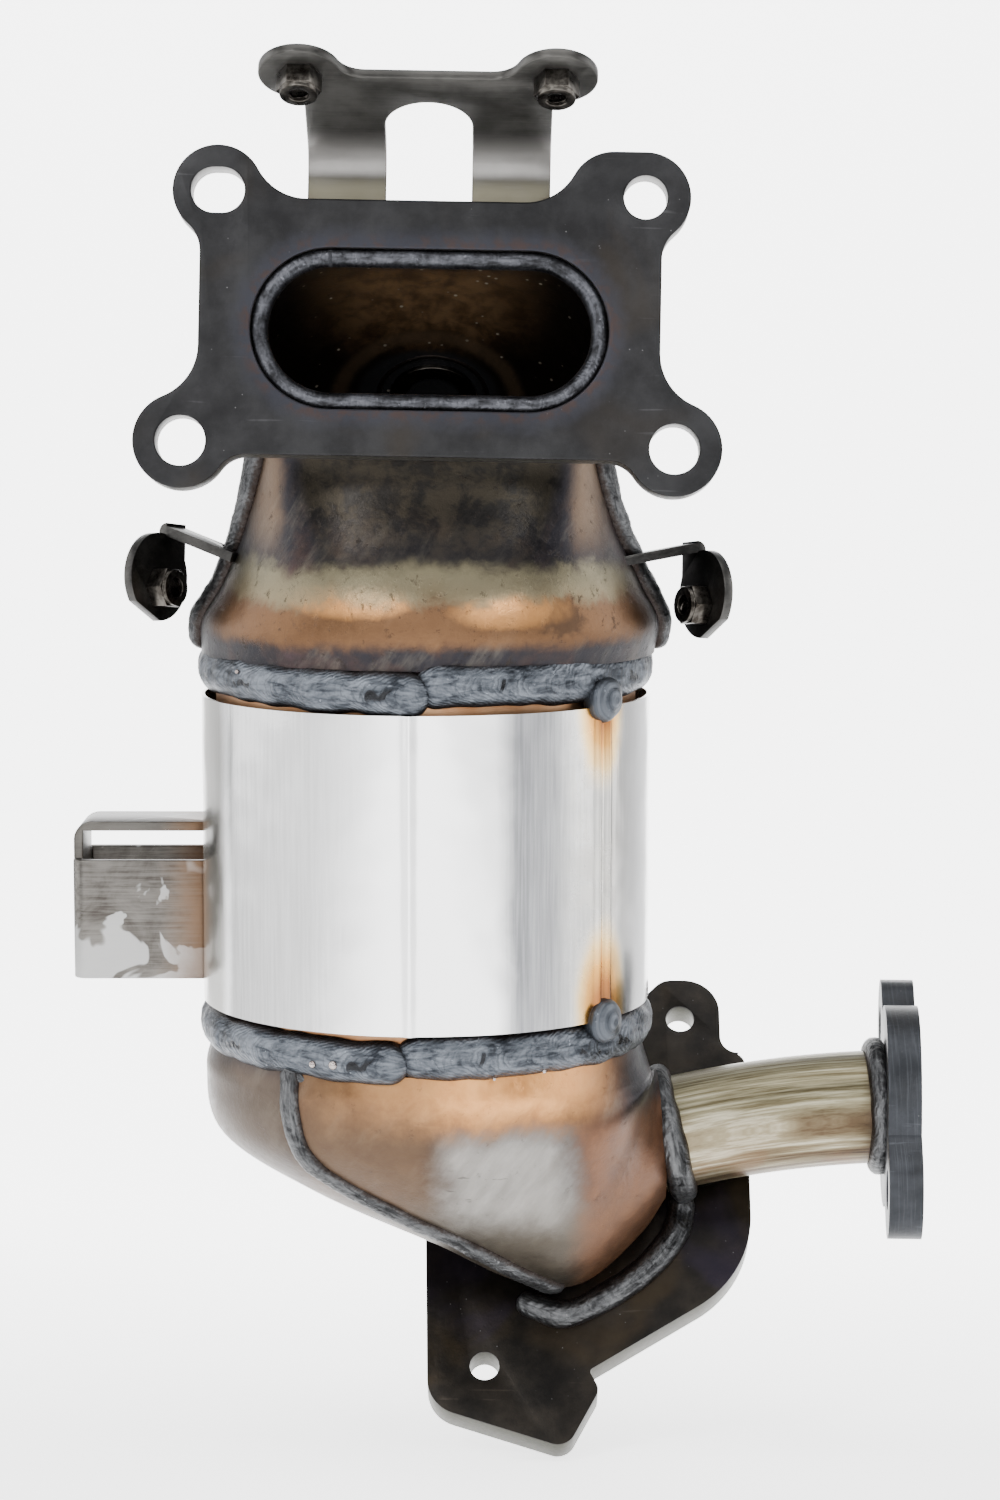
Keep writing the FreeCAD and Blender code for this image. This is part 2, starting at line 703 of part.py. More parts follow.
def stay_plate(cone_outer):
    blank = stay_outline().extrude(Vector(0, 0, -STAY_T))
    for x, y in ((70.8, 28.0), (15.8, -76.0)):
        blank = blank.cut(Part.makeCylinder(STAY_HOLE_R, STAY_T + 2, Vector(x, y, -STAY_T - 1)))
    plate = placed(blank, stay_frame())
    plate = plate.cut(cone_outer)
    plate = plate.cut(Part.makeCylinder(CAN_R + 6, 60, Vector(0, 0, -58)))
    plate = plate.cut(pipe_along(PIPE_R + 2.0))
    return plate


def stay_weld():
    """The fillet weld that runs round the cone's foot on the stay plate."""
    frame = stay_frame()
    spots = ((29.0, -58.8), (39.0, -60.8), (51.8, -54.0), (62.0, -46.0), (68.4, -36.5), (70.6, -28.0))
    points = [frame.multVec(Vector(x, y, 1.4)) for x, y in spots]
    return bead(points, 2.8)


# ---------------------------------------------------------------- brackets
def weld_nut():
    """A hexagon weld nut standing on local z = 0."""
    nut = hexagon(NUT_FLATS, NUT_HEIGHT - 1.0)
    nut = nut.fuse(Part.makeCylinder(NUT_FLATS / 2 - 0.2, NUT_HEIGHT)).removeSplitter()
    return nut.cut(Part.makeCylinder(NUT_R, NUT_HEIGHT + 2, Vector(0, 0, -1)))


def top_bracket_frame():
    """The leaning plate's own frame: x across, y up the plate, z out of its lower face."""
    lean = math.radians(TOP_LEAN)
    up = Vector(0, -math.sin(lean), math.cos(lean))
    foot = Vector(TOP_X, TOP_LEG_Y, TOP_BEND_Z)
    return plane_at(foot, Vector(1, 0, 0), up)


def top_bracket():
    half = EAR_SPACING / 2
    corner = Vector(-LEG_OUTER, TOP_BEND_R, -STRIP_T)
    blank = Part.makeBox(2 * LEG_OUTER, TOP_MID - TOP_BEND_R, STRIP_T, corner)
    for sign in (-1, 1):
        blank = blank.fuse(Part.makeCylinder(TOP_EAR_R, STRIP_T, Vector(sign * half, TOP_EAR_Y, -STRIP_T)))
    blank = blank.removeSplitter()
    upright = [e for e in blank.Edges if e.BoundBox.ZLength > STRIP_T / 2 and e.BoundBox.XLength < 0.01]
    plate = blank.makeFillet(7.0, [e for e in upright if e.CenterOfMass.y > TOP_MID - 0.1])
    upright = [e for e in plate.Edges if e.BoundBox.ZLength > STRIP_T / 2 and e.BoundBox.XLength < 0.01]
    outer = [e for e in upright if abs(e.CenterOfMass.x) > LEG_OUTER - 0.2]
    waist = [e for e in outer if 20 < e.CenterOfMass.y < TOP_MID - 4]
    plate = plate.makeFillet(3.0, waist)
    arch = Part.makeBox(2 * LEG_INNER, ARCH_RISE + 20, STRIP_T + 2, Vector(-LEG_INNER, -20, -STRIP_T - 1))
    arch_top = Part.makeCylinder(LEG_INNER, STRIP_T + 2, Vector(0, ARCH_RISE, -STRIP_T - 1))
    plate = plate.cut(arch).cut(arch_top)
    for sign in (-1, 1):
        hole = Part.makeCylinder(NUT_R + 0.6, STRIP_T + 2, Vector(sign * half, TOP_EAR_Y, -STRIP_T - 1))
        plate = plate.cut(hole)
    body = placed(plate, top_bracket_frame())
    for sign in (-1, 1):
        body = body.fuse(top_leg(sign))
    return body.removeSplitter()


def top_leg(sign):
    """A leg drawn from the side: up from the hood, round the bend and onto the plate."""
    lean = math.radians(TOP_LEAN)
    up = Vector(0, -math.sin(lean), math.cos(lean))
    out = Vector(0, math.cos(lean), math.sin(lean))
    inner_foot = Vector(0, TOP_LEG_Y, TOP_LEG_FOOT)
    outer_foot = inner_foot + Vector(0, STRIP_T, 0)
    corner_in = Vector(0, TOP_LEG_Y, TOP_BEND_Z)
    reach = TOP_BEND_R
    a_in = corner_in - Vector(0, 0, reach)
    b_in = corner_in + up * reach
    half_turn = lean / 2
    radius = reach / math.tan(half_turn)
    centre = a_in + Vector(0, -radius, 0)
    middle_way = (corner_in - centre).normalize()
    m_in = centre + middle_way * radius
    a_out = a_in + Vector(0, STRIP_T, 0)
    b_out = b_in + out * STRIP_T
    m_out = centre + middle_way * (radius + STRIP_T)
    edges = [
        Part.LineSegment(inner_foot, a_in).toShape(), Part.Arc(a_in, m_in, b_in).toShape(),
        Part.LineSegment(b_in, b_in + up * 2).toShape(),
        Part.LineSegment(b_in + up * 2, b_out + up * 2).toShape(),
        Part.LineSegment(b_out + up * 2, b_out).toShape(), Part.Arc(b_out, m_out, a_out).toShape(),
        Part.LineSegment(a_out, outer_foot).toShape(), Part.LineSegment(outer_foot, inner_foot).toShape(),
    ]
    side = Part.Face(Part.Wire(Part.sortEdges(edges)[0]))
    low = LEG_INNER if sign > 0 else -LEG_OUTER
    side.translate(Vector(TOP_X + low, 0, 0))
    return side.extrude(Vector(LEG_OUTER - LEG_INNER, 0, 0))


def top_nut(sign):
    nut = weld_nut()
    nut.translate(Vector(sign * EAR_SPACING / 2, TOP_EAR_Y, 0))
    return placed(nut, top_bracket_frame())


def side_frame(sign):
    """The pad of a side bracket: z out of the face that carries the nut."""
    normal = Vector(SIDE_FACES[sign]).normalize()
    up = Vector(0, 0, 1)
    across = up.cross(normal)
    centre = SIDE_MOUTHS[sign] - normal * NUT_HEIGHT
    return plane_at(centre, across, up)


def side_bracket(sign, hood_outer, seam):
    """A round pad and the strap that bends from it to the hood's side seam."""
    rise = SIDE_RISE[sign]
    fold = SIDE_FOLD[sign]
    pad = Part.makeCylinder(SIDE_PAD_R, STRIP_T, Vector(0, rise, -STRIP_T))
    flat = Part.makeBox(30, 30, STRIP_T, Vector(-15, rise - SIDE_PAD_R + 1.4, -STRIP_T))
    flat.rotate(Vector(0, rise, 0), Vector(0, 0, 1), SIDE_SLANT * sign)
    pad = pad.common(flat)
    low, high = (-10.5, -2.5) if sign > 0 else (2.5, 10.5)
    strap = Part.makeBox(high - low, fold + STRIP_T, STRIP_T, Vector(low, 0, -STRIP_T))
    arm = Part.makeBox(high - low, STRIP_T, 26.0, Vector(low, fold, -STRIP_T))
    arm.rotate(Vector(0, fold + STRIP_T, -STRIP_T), Vector(1, 0, 0), SIDE_DROP[sign])
    arm = arm.cut(Part.makeBox(60, 60, 20, Vector(-30, -10, -20 - STRIP_T)))
    body = pad.fuse(strap).fuse(arm).removeSplitter()
    bend = [
        e for e in body.Edges
        if abs(e.CenterOfMass.y - fold - STRIP_T) < 0.01 and abs(e.CenterOfMass.z + STRIP_T) < 0.01
        and e.BoundBox.XLength > 5
    ]
    if bend:
        body = body.makeFillet(2.4, bend)
    body = body.cut(Part.makeCylinder(NUT_R + 0.6, STRIP_T + 2, Vector(0, 0, -STRIP_T - 1)))
    return placed(body, side_frame(sign)).cut(hood_outer).cut(seam)


def side_nut(sign):
    return placed(weld_nut(), side_frame(sign))


def harness_bracket():
    """A folded box open to the can and below: an end wall with a front, a back and a
    top wing folded from it."""
    width = -BOX_LEFT - 40.0
    outer = Part.makeBox(width, BOX_DEPTH, BOX_TOP - BOX_BOTTOM, Vector(BOX_LEFT, BOX_FRONT, BOX_BOTTOM))
    upright = [
        e for e in outer.Edges
        if abs(e.CenterOfMass.x - BOX_LEFT) < 0.01 and e.BoundBox.ZLength > 10
    ]
    outer = outer.makeFillet(BOX_BEND, upright)
    inner = Part.makeBox(width, BOX_DEPTH - 2 * BOX_T, BOX_TOP - BOX_BOTTOM, Vector(
        BOX_LEFT + BOX_T, BOX_FRONT + BOX_T, BOX_BOTTOM - BOX_T))
    body = outer.cut(inner)
    # the wings stop short of the top, and the top wing is narrower than the box
    for y in (BOX_FRONT - 1, BOX_FRONT + BOX_DEPTH - BOX_BEND - 1):
        corner = Vector(BOX_LEFT - 1, y, BOX_PLATE_TOP)
        relief = Part.makeBox(width, BOX_BEND + 2, BOX_TOP - BOX_PLATE_TOP + 1, corner)
        body = body.cut(relief)
    ridge = [
        e for e in body.Edges
        if abs(e.CenterOfMass.x - BOX_LEFT) < 0.01 and abs(e.CenterOfMass.z - BOX_TOP) < 0.01
    ]
    body = body.makeFillet(5.0, ridge)
    return body.cut(Part.makeCylinder(CAN_R, 200, Vector(0, 0, -100)))


# ---------------------------------------------------------------- sensor boss


def boss_frame():
    """On the back of the hood, facing back and up, square to the wall."""
    mouth = can_point(1.4, 34.5, 120.0)
    heading = can_direction(0, 0.77, 0.64)
    across = can_direction(1, 0, 0)
    return plane_at(mouth, across, heading.cross(across))


def sensor_boss():
    ring = Part.makeCylinder(BOSS_R, BOSS_LENGTH, Vector(0, 0, -4))
    ring = ring.cut(Part.makeCylinder(BOSS_THREAD_R, BOSS_LENGTH + 4, Vector(0, 0, -6)))
    return placed(ring, boss_frame())


def boss_weld(hood):
    """The bead between the boss and the hood: a ring cut to lie outside the hood."""
    ring = Part.makeTorus(BOSS_R + 0.6, 2.6)
    ring.translate(Vector(0, 0, BOSS_WELD_AT))
    return placed(ring, boss_frame())


def build():
    hood_outer = hood_loft(0)
    cone_outer = cone_loft(0)
    hood = hood_shell()
    boss_zone = placed(Part.makeCylinder(BOSS_R, BOSS_LENGTH, Vector(0, 0, -4)), boss_frame())
    hood = hood.cut(boss_zone)
    front = hood_split()
    flange = inlet_flange()
    cone = outlet_cone_shell().cut(pipe_along(PIPE_R))
    front_zone = cone_front_zone()
    parts = {
        "inlet_flange": flange,
        "inlet_port_weld": inlet_port_weld(),
        "inlet_hood_front": hood.common(front),
        "inlet_hood_rear": hood.cut(front),
        "can_shell": from_can(can_shell()),
        "support_mat": from_can(support_mat()),
        "ceramic_monolith": from_can(ceramic_monolith()),
        "heat_shield": from_can(heat_shield()),
        "harness_bracket": from_can(harness_bracket()),
    }
    upper = ring_weld(1)
    lower = ring_weld(-1)
    for name, sign in (("hood_seam_weld_left", -1), ("hood_seam_weld_right", 1)):
        parts[name] = hood_seam(sign, hood_outer).cut(hood_outer).cut(from_can(upper)).cut(flange)
    parts["upper_ring_weld"] = from_can(upper)
    parts["lower_ring_weld"] = from_can(lower)
    for name, z in (("shield_tack_weld_upper", 43.0), ("shield_tack_weld_lower", -41.0)):
        tack = shield_tack(z)
        solid = Part.makeCylinder(CAN_R, 2 * CAN_HALF, Vector(0, 0, -CAN_HALF))
        parts[name] = from_can(tack.cut(solid).cut(heat_shield()).cut(upper).cut(lower))
    parts["outlet_cone_front"] = from_can(cone.common(front_zone))
    parts["outlet_cone_rear"] = from_can(cone.cut(front_zone))
    pipe = outlet_pipe()
    parts["outlet_pipe"] = from_can(pipe)
    parts["cone_seam_weld"] = from_can(cone_seam(cone_outer).cut(cone_outer).cut(lower))
    slope = math.radians(PIPE_START_SLOPE)
    heading = Vector(math.cos(slope), 0, math.sin(slope))
    collar = torus_weld(PIPE_START + heading * 3.4, heading, PIPE_R + 1.3, 2.8)
    parts["pipe_collar_weld"] = from_can(collar.cut(cone_outer).cut(pipe_along(PIPE_R)))
    out_flange = outlet_flange()
    _, end = pipe_line()
    root = Vector(OUT_FACE_X - OUT_T - 0.6, end.y, end.z)
    foot = torus_weld(root, Vector(1, 0, 0), PIPE_R + 0.8, 2.3)
    parts["pipe_flange_weld"] = from_can(foot.cut(out_flange).cut(pipe_along(PIPE_R)))
    parts["outlet_flange"] = from_can(out_flange)
    plate = stay_plate(cone_outer).cut(collar)
    parts["stay_plate"] = from_can(plate)
    seat = stay_weld().cut(plate).cut(cone_outer)
    parts["stay_plate_weld"] = from_can(seat.cut(cone_seam(cone_outer)).cut(collar))
    parts["shield_bracket_top"] = top_bracket()
    parts["sensor_boss"] = sensor_boss()
    parts["sensor_boss_weld"] = boss_weld(hood).cut(hood_outer).cut(sensor_boss())
    for name, sign in (("left", -1), ("right", 1)):
        parts["top_nut_" + name] = top_nut(sign)
        seam = parts["hood_seam_weld_" + name]
        parts["side_bracket_" + name] = side_bracket(sign, hood_outer, seam)
        parts["side_nut_" + name] = side_nut(sign)
    return parts


def main():
    os.makedirs("parts", exist_ok=True)
    for name, shape in build().items():
        solid = single(shape, name)
        solid.exportStep("parts/" + name + ".step")
        box = solid.BoundBox
        size = [round(v, 1) for v in (box.XLength, box.YLength, box.ZLength)]
        print(name, len(shape.Solids), round(solid.Volume / 1000, 2), "cm3", size)


main()
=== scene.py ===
# %% [markdown]
# # Close-coupled catalytic converter
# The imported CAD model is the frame. Every shell, weld bead, nut and bracket below is
# built or finished over it, in metres, with the gasket face of the flange in Y = 0.

# %% Load the frame
import math
import bmesh
import bpy
from mathutils import Matrix, Vector, noise
from mathutils.bvhtree import BVHTree
from mathutils.kdtree import KDTree


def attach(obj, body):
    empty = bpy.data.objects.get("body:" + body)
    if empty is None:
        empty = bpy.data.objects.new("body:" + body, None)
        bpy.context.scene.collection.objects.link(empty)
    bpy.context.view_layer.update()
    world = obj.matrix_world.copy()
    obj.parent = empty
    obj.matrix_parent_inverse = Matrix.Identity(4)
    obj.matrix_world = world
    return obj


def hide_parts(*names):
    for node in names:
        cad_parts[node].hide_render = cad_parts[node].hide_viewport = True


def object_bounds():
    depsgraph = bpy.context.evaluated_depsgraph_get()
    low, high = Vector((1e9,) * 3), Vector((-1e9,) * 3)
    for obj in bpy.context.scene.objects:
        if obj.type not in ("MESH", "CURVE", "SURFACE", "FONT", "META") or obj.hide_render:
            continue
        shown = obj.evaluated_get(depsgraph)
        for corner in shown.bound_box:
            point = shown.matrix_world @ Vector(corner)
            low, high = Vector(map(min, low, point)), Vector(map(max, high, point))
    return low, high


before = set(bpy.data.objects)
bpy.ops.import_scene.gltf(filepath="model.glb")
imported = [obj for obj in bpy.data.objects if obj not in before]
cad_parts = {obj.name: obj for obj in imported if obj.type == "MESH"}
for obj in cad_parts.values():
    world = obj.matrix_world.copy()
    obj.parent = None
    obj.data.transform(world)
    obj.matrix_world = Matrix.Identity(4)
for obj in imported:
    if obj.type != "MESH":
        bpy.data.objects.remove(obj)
first_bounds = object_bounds()
print("CAD nodes:", len(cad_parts))

# %% [markdown]
# ## Sizes and the can's own frame
# Lengths are millimetres here and are turned into metres where a mesh is made. The can
# leans a little, so most pieces are drawn in its own frame: z along the monolith, y away
# from the cylinder head.

# %% Frame of the can
CAN = Matrix.Translation((0.2, 68.8, -129.1)) @ Matrix.Rotation(math.radians(-1), 4, "Y")
CAN = CAN @ Matrix.Rotation(math.radians(8), 4, "X")
SHIELD_R, SHEET = 60.0, 1.8


def can(x, y, z):
    return CAN @ Vector((x, y, z))


def can_way(x, y, z):
    return (CAN.to_3x3() @ Vector((x, y, z))).normalized()


def smooth(edge0, edge1, value):
    t = min(1.0, max(0.0, (value - edge0) / (edge1 - edge0)))
    return t * t * (3 - 2 * t)


def wobble(p, size, seed=0.0):
    """Soft noise between -1 and 1 for a point in millimetres."""
    return noise.noise(Vector((p.x / size + seed, p.y / size, p.z / size + seed)))


print("can centre, mm:", [round(v, 1) for v in can(0, 0, 0)])

# %% [markdown]
# ## Shader helper
# `Value` wraps an output socket so that sums read as sums. `Paint` makes one material and
# gives the coordinates that the finishes are drawn with: the part's own, and the can's.

# %% Shader helper
class Value:
    def __init__(self, paint, socket):
        self.paint, self.socket = paint, socket

    def op(self, kind, other=None, swap=False):
        pair = [self, other] if not swap else [other, self]
        values = {i: v for i, v in enumerate(pair) if v is not None}
        return self.paint.node("ShaderNodeMath", {"operation": kind}, values)

    def __add__(self, o): return self.op("ADD", o)
    def __radd__(self, o): return self.op("ADD", o, True)
    def __sub__(self, o): return self.op("SUBTRACT", o)
    def __rsub__(self, o): return self.op("SUBTRACT", o, True)
    def __mul__(self, o): return self.op("MULTIPLY", o)
    def __rmul__(self, o): return self.op("MULTIPLY", o, True)
    def __truediv__(self, o): return self.op("DIVIDE", o)
    def __rtruediv__(self, o): return self.op("DIVIDE", o, True)
    def __pow__(self, o): return self.op("POWER", o)
    def __neg__(self): return self.op("MULTIPLY", -1.0)
    def __abs__(self): return self.op("ABSOLUTE")


class Paint:
    def __init__(self, name, metallic=1.0, roughness=0.4):
        self.material = bpy.data.materials.new(name)
        self.material.use_nodes = True
        self.tree = self.material.node_tree
        self.bsdf = self.tree.nodes["Principled BSDF"]
        self.bsdf.inputs["Metallic"].default_value = metallic
        self.bsdf.inputs["Roughness"].default_value = roughness
        self.own = self.node("ShaderNodeTexCoord", out="Object")
        self.spots = {}

    def node(self, kind, settings=None, values=None, out=0):
        made = self.tree.nodes.new(kind)
        for key, value in (settings or {}).items():
            setattr(made, key, value)
        for key, value in (values or {}).items():
            if isinstance(value, Value):
                self.tree.links.new(value.socket, made.inputs[key])
            else:
                made.inputs[key].default_value = value
        return Value(self, made.outputs[out])

    def put(self, name, value):
        self.tree.links.new(value.socket, self.bsdf.inputs[name])

    def shift(self, scale):
        """The object's own coordinates, stretched."""
        return self.node("ShaderNodeMapping", {}, {"Vector": self.own, "Scale": scale})

    def can_mm(self):
        """Millimetres in the can's frame, as a vector."""
        if "can" not in self.spots:
            turn = CAN.to_3x3().to_euler()
            values = {"Vector": self.own, "Location": [v / 1000 for v in CAN.translation],
                      "Rotation": turn, "Scale": (0.001, 0.001, 0.001)}
            self.spots["can"] = self.node("ShaderNodeMapping", {"vector_type": "TEXTURE"}, values)
        return self.spots["can"]

    def own_mm(self):
        if "own" not in self.spots:
            self.spots["own"] = self.shift((1000, 1000, 1000))
        return self.spots["own"]

    def axes(self, vector):
        return [self.node("ShaderNodeSeparateXYZ", {}, {0: vector}, out=i) for i in range(3)]

    def join(self, x, y, z):
        return self.node("ShaderNodeCombineXYZ", {}, {0: x, 1: y, 2: z})

    def noise(self, scale, detail=3.0, rough=0.55, where=None, warp=0.0):
        values = {"Vector": where or self.own_mm(), "Scale": scale, "Detail": detail,
                  "Roughness": rough, "Distortion": warp}
        return self.node("ShaderNodeTexNoise", {}, values)

    def cells(self, scale):
        return self.node("ShaderNodeTexVoronoi", {}, {"Vector": self.own_mm(), "Scale": scale})

    def attribute(self, name):
        return self.node("ShaderNodeAttribute", {"attribute_name": name}, {}, out="Fac")

    def step(self, value, low, high):
        """0 at low, 1 at high, smooth between; low may be the larger."""
        values = {"Value": value, "From Min": low, "From Max": high}
        return self.node("ShaderNodeMapRange", {"interpolation_type": "SMOOTHSTEP"}, values)

    def all_of(self, *steps):
        """The product of several steps, each given as (value, low, high)."""
        product = self.step(*steps[0])
        for values in steps[1:]:
            product = product * self.step(*values)
        return product

    def mix(self, amount, a, b):
        a, b = (tone if isinstance(tone, Value) else (*tone, 1.0) for tone in (a, b))
        return self.node("ShaderNodeMix", {"data_type": "RGBA"}, {0: amount, 6: a, 7: b}, out=2)

    def coat(self, amount, *tones):
        """Lays a colour over the base so far, or a mask and the two colours it mixes."""
        self.base = self.mix(amount, self.base, tones[0] if len(tones) == 1 else self.mix(*tones))

    def close(self, rough, height, strength, depth_mm=0.2):
        """Links the base colour, the roughness and a bump to the surface."""
        values = {"Height": height, "Strength": strength, "Distance": depth_mm / 1000}
        self.put("Base Color", self.base)
        self.put("Roughness", rough)
        self.put("Normal", self.node("ShaderNodeBump", {}, values))
        return self

    def ramp(self, value, stops):
        found = self.node("ShaderNodeValToRGB", {}, {0: value})
        points = found.socket.node.color_ramp.elements
        while len(points) < len(stops):
            points.new(0.5)
        for point, (place, colour) in zip(points, stops):
            point.position = place
            point.color = (*colour, 1)
        return found


print("shader helper ready")

# %% [markdown]
# ## Mesh helpers
# `keep` turns a bmesh into an object that rides on the part and stands for CAD nodes.
# `finished` copies a CAD solid, merges it and breaks its sharp edges. `grid` makes a
# surface from rows of points and can carry values from row to row.

# %% Mesh helpers
MM = 0.001
LARGE_FACE = 80e-6
SHARP = math.radians(30)


def placed(name, data):
    """A new object in the scene."""
    made = bpy.data.objects.new(name, data)
    bpy.context.scene.collection.objects.link(made)
    return made


def keep(bm, name, paint, nodes=(), angle=35.0, flat=False):
    """The bmesh as an object that rides on the part; flat keeps its large faces flat."""
    bmesh.ops.scale(bm, vec=(MM, MM, MM), verts=bm.verts)
    bmesh.ops.recalc_face_normals(bm, faces=bm.faces)
    mesh = bpy.data.meshes.new(name)
    bm.to_mesh(mesh)
    bm.free()
    for face in mesh.polygons:
        face.use_smooth = not (flat and (len(face.vertices) > 4 or face.area > LARGE_FACE))
    mesh.set_sharp_from_angle(angle=math.radians(angle))
    mesh.materials.append(paint.material)
    made = placed(name, mesh)
    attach(made, "root")
    if nodes:
        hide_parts(*nodes)
    return made


def cad_mesh(node):
    """A merged copy of a CAD solid, in millimetres."""
    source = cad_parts[node]
    bm = bmesh.new()
    bm.from_mesh(source.data)
    bmesh.ops.transform(bm, matrix=source.matrix_world, verts=bm.verts)
    bmesh.ops.scale(bm, vec=(1 / MM, 1 / MM, 1 / MM), verts=bm.verts)
    bmesh.ops.remove_doubles(bm, verts=bm.verts, dist=0.002)
    return bm


def finished(node, paint, width, segments):
    """A CAD solid with its flat faces joined and its sharp edges broken by width."""
    bm = cad_mesh(node)
    bmesh.ops.dissolve_limit(bm, angle_limit=math.radians(0.6), verts=bm.verts, edges=bm.edges,
                             use_dissolve_boundaries=False)
    edges = [e for e in bm.edges if len(e.link_faces) == 2 and e.calc_face_angle(0) > SHARP]
    bmesh.ops.bevel(bm, geom=edges, offset=width, offset_type="OFFSET", segments=segments,
                    profile=0.5, affect="EDGES", clamp_overlap=True, material=-1)
    return keep(bm, node + "_look", paint, [node], flat=True)


def grid(bm, rows, wrap_across=True, wrap_along=False, values=None):
    """Quads over rows of points; values maps a name to a function of (row, column)."""
    layers = {key: bm.verts.layers.float.new(key) for key in (values or {})}
    made = []
    for i, row in enumerate(rows):
        line = [bm.verts.new(p) for p in row]
        for j, vert in enumerate(line):
            for key, layer in layers.items():
                vert[layer] = values[key](i, j)
        made.append(line)
    last = len(made) if wrap_along else len(made) - 1
    wide = len(made[0]) if wrap_across else len(made[0]) - 1
    faces = []
    for i in range(last):
        a, b = made[i], made[(i + 1) % len(made)]
        for j in range(wide):
            k = (j + 1) % len(a)
            faces.append(bm.faces.new((a[j], a[k], b[k], b[j])))
    return made, faces


print("mesh helpers ready")

# %% [markdown]
# ## The pressed shells
# The hood turns from the flange's racetrack to the round can, and the cone turns from the
# can to the outlet. Both are smooth skins through a few stations, like the CAD.

# %% Skin through stations
def between(values, place):
    i = min(int(place), len(values) - 2)
    t = place - i
    p1, p2 = values[i], values[i + 1]
    p0 = values[i - 1] if i > 0 else p1 * 2 - p2
    p3 = values[i + 2] if i + 2 < len(values) else p2 * 2 - p1
    m1, m2 = (p2 - p0) * 0.5, (p3 - p1) * 0.5
    return p1 + (p2 - p1) * (t * t * (3 - 2 * t)) + m1 * (t * (1 - t) ** 2) - m2 * (t * t * (1 - t))


def skin_rows(stations, fine=10, around=160):
    columns = [list(c) for c in zip(*stations)]
    rows = []
    for k in range((len(stations) - 1) * fine + 1):
        centre, across, up, half_x, half_y, power = (between(c, k / fine) for c in columns)
        across = across.normalized()
        normal = across.cross(up).normalized()
        upward = normal.cross(across)
        row = []
        for j in range(around):
            a = 2 * math.pi * j / around
            c, s = math.cos(a), math.sin(a)
            x = half_x * math.copysign(abs(s) ** (2 / power), s)
            y = half_y * math.copysign(abs(c) ** (2 / power), c)
            row.append(centre + across * x + upward * y)
        rows.append(row)
    return rows


HOOD_RIM = 52.0
HOOD_WALLS = (
    (-43.0, 108.5, -7.0, 153.0, 1.9, 47.2, 2.9),
    (-44.0, 99.5, 27.0, 128.0, 1.6, 47.0, 2.7),
    (-50.5, 84.0, 49.0, 99.0, 1.4, 49.6, 2.45),
    (-58.5, 70.5, 58.5, 74.0, 1.9, 55.6, 2.2),
    (-60.5, 61.0, 60.5, 61.5, 1.4, 60.9, 2.05),
    (-57.9, HOOD_RIM, 57.9, HOOD_RIM, 0.6, 60.4, 2.0),
)
hood_stations = [(Vector((0, 10, 0)), Vector((1, 0, 0)), Vector((0, 0, 43.8)), 46.6, 21.9, 3.4)]
for number, (front_y, front_z, rear_y, rear_z, x, half, power) in enumerate(HOOD_WALLS):
    front, rear = can(x, front_y, front_z), can(x, rear_y, rear_z)
    share = min(1.0, (number + 1) / 3)
    way = Vector((1, 0, 0)) * (1 - share) + can_way(1, 0, 0) * share
    hood_stations.append(((front + rear) / 2, way, rear - front, half, (rear - front).length / 2, power))

CONE_BENDS = (
    (57.7, -52.0, -57.7, -52.0, 0.0, 57.7, 2.0),
    (59.4, -58.0, -59.4, -60.5, 0.0, 59.0, 2.0),
    (60.2, -60.3, -55.5, -76.5, -1.0, 55.0, 2.1),
    (60.4, -61.0, -32.0, -91.5, -3.0, 48.0, 2.2),
    (60.6, -61.6, 1.0, -106.4, -6.0, 37.0, 2.25),
    (61.0, -62.1, 25.0, -118.2, -6.0, 27.0, 2.25),
    (61.6, -62.5, 42.0, -120.5, -1.0, 21.5, 2.15),
    (62.6, -63.6, 57.8, -109.4, 6.5, 20.0, 2.0),
    (64.6, -65.2, 65.2, -99.8, 10.0, 17.4, 2.0),
)
cone_stations = []
for near_x, near_z, far_x, far_z, mid, half, power in CONE_BENDS:
    near, far = can(near_x, mid, near_z), can(far_x, mid, far_z)
    way = can_way(0, 1, 0)
    cone_stations.append(((near + far) / 2, way, near - far, half, (near - far).length / 2, power))

hood_rows = skin_rows(hood_stations)
cone_rows = skin_rows(cone_stations)


def skin_tree(rows):
    bm = bmesh.new()
    grid(bm, rows)
    bm.normal_update()
    tree = BVHTree.FromBMesh(bm)
    bm.free()
    return tree


hood_tree, cone_tree = skin_tree(hood_rows), skin_tree(cone_rows)
print("skins:", len(hood_rows), "and", len(cone_rows), "rows")

# %% [markdown]
# ## Where the welds run
# Each path is a list of points on the metal with the way out of it. The beads are laid
# along them, and the shells' heat tint is measured from them.

# %% Weld paths
def spread(points, gap=0.6):
    """Points every gap along a smooth curve through the given ones."""
    places = []
    for i in range(len(points) - 1):
        steps = max(2, int((points[i + 1] - points[i]).length / gap))
        places += [i + k / steps for k in range(steps)]
    places.append(len(points) - 1)
    return [between(points, min(p, len(points) - 1 - 1e-6)) for p in places]


def on_skin(tree, points, ways):
    """Points dropped on a skin along the given ways, with the skin's outward normals."""
    path = []
    for p, way in zip(points, ways):
        hit, normal, _, _ = tree.ray_cast(p + way * 80, -way, 160)
        if hit is None:
            hit, normal, _, _ = tree.find_nearest(p)
        path.append((hit, normal if normal.dot(way) > 0 else -normal))
    return path


def ring_path(z, start, sweep, drift, count=760):
    """Once round the can from the start angle, drifting along it as the share walked says."""
    path = []
    for k in range(count):
        share = k / (count - 1)
        a = math.radians(start + sweep * share)
        spot = can(RING_R * math.cos(a), RING_R * math.sin(a), z + drift(share))
        path.append((spot, can_way(math.cos(a), math.sin(a), 0)))
    return path


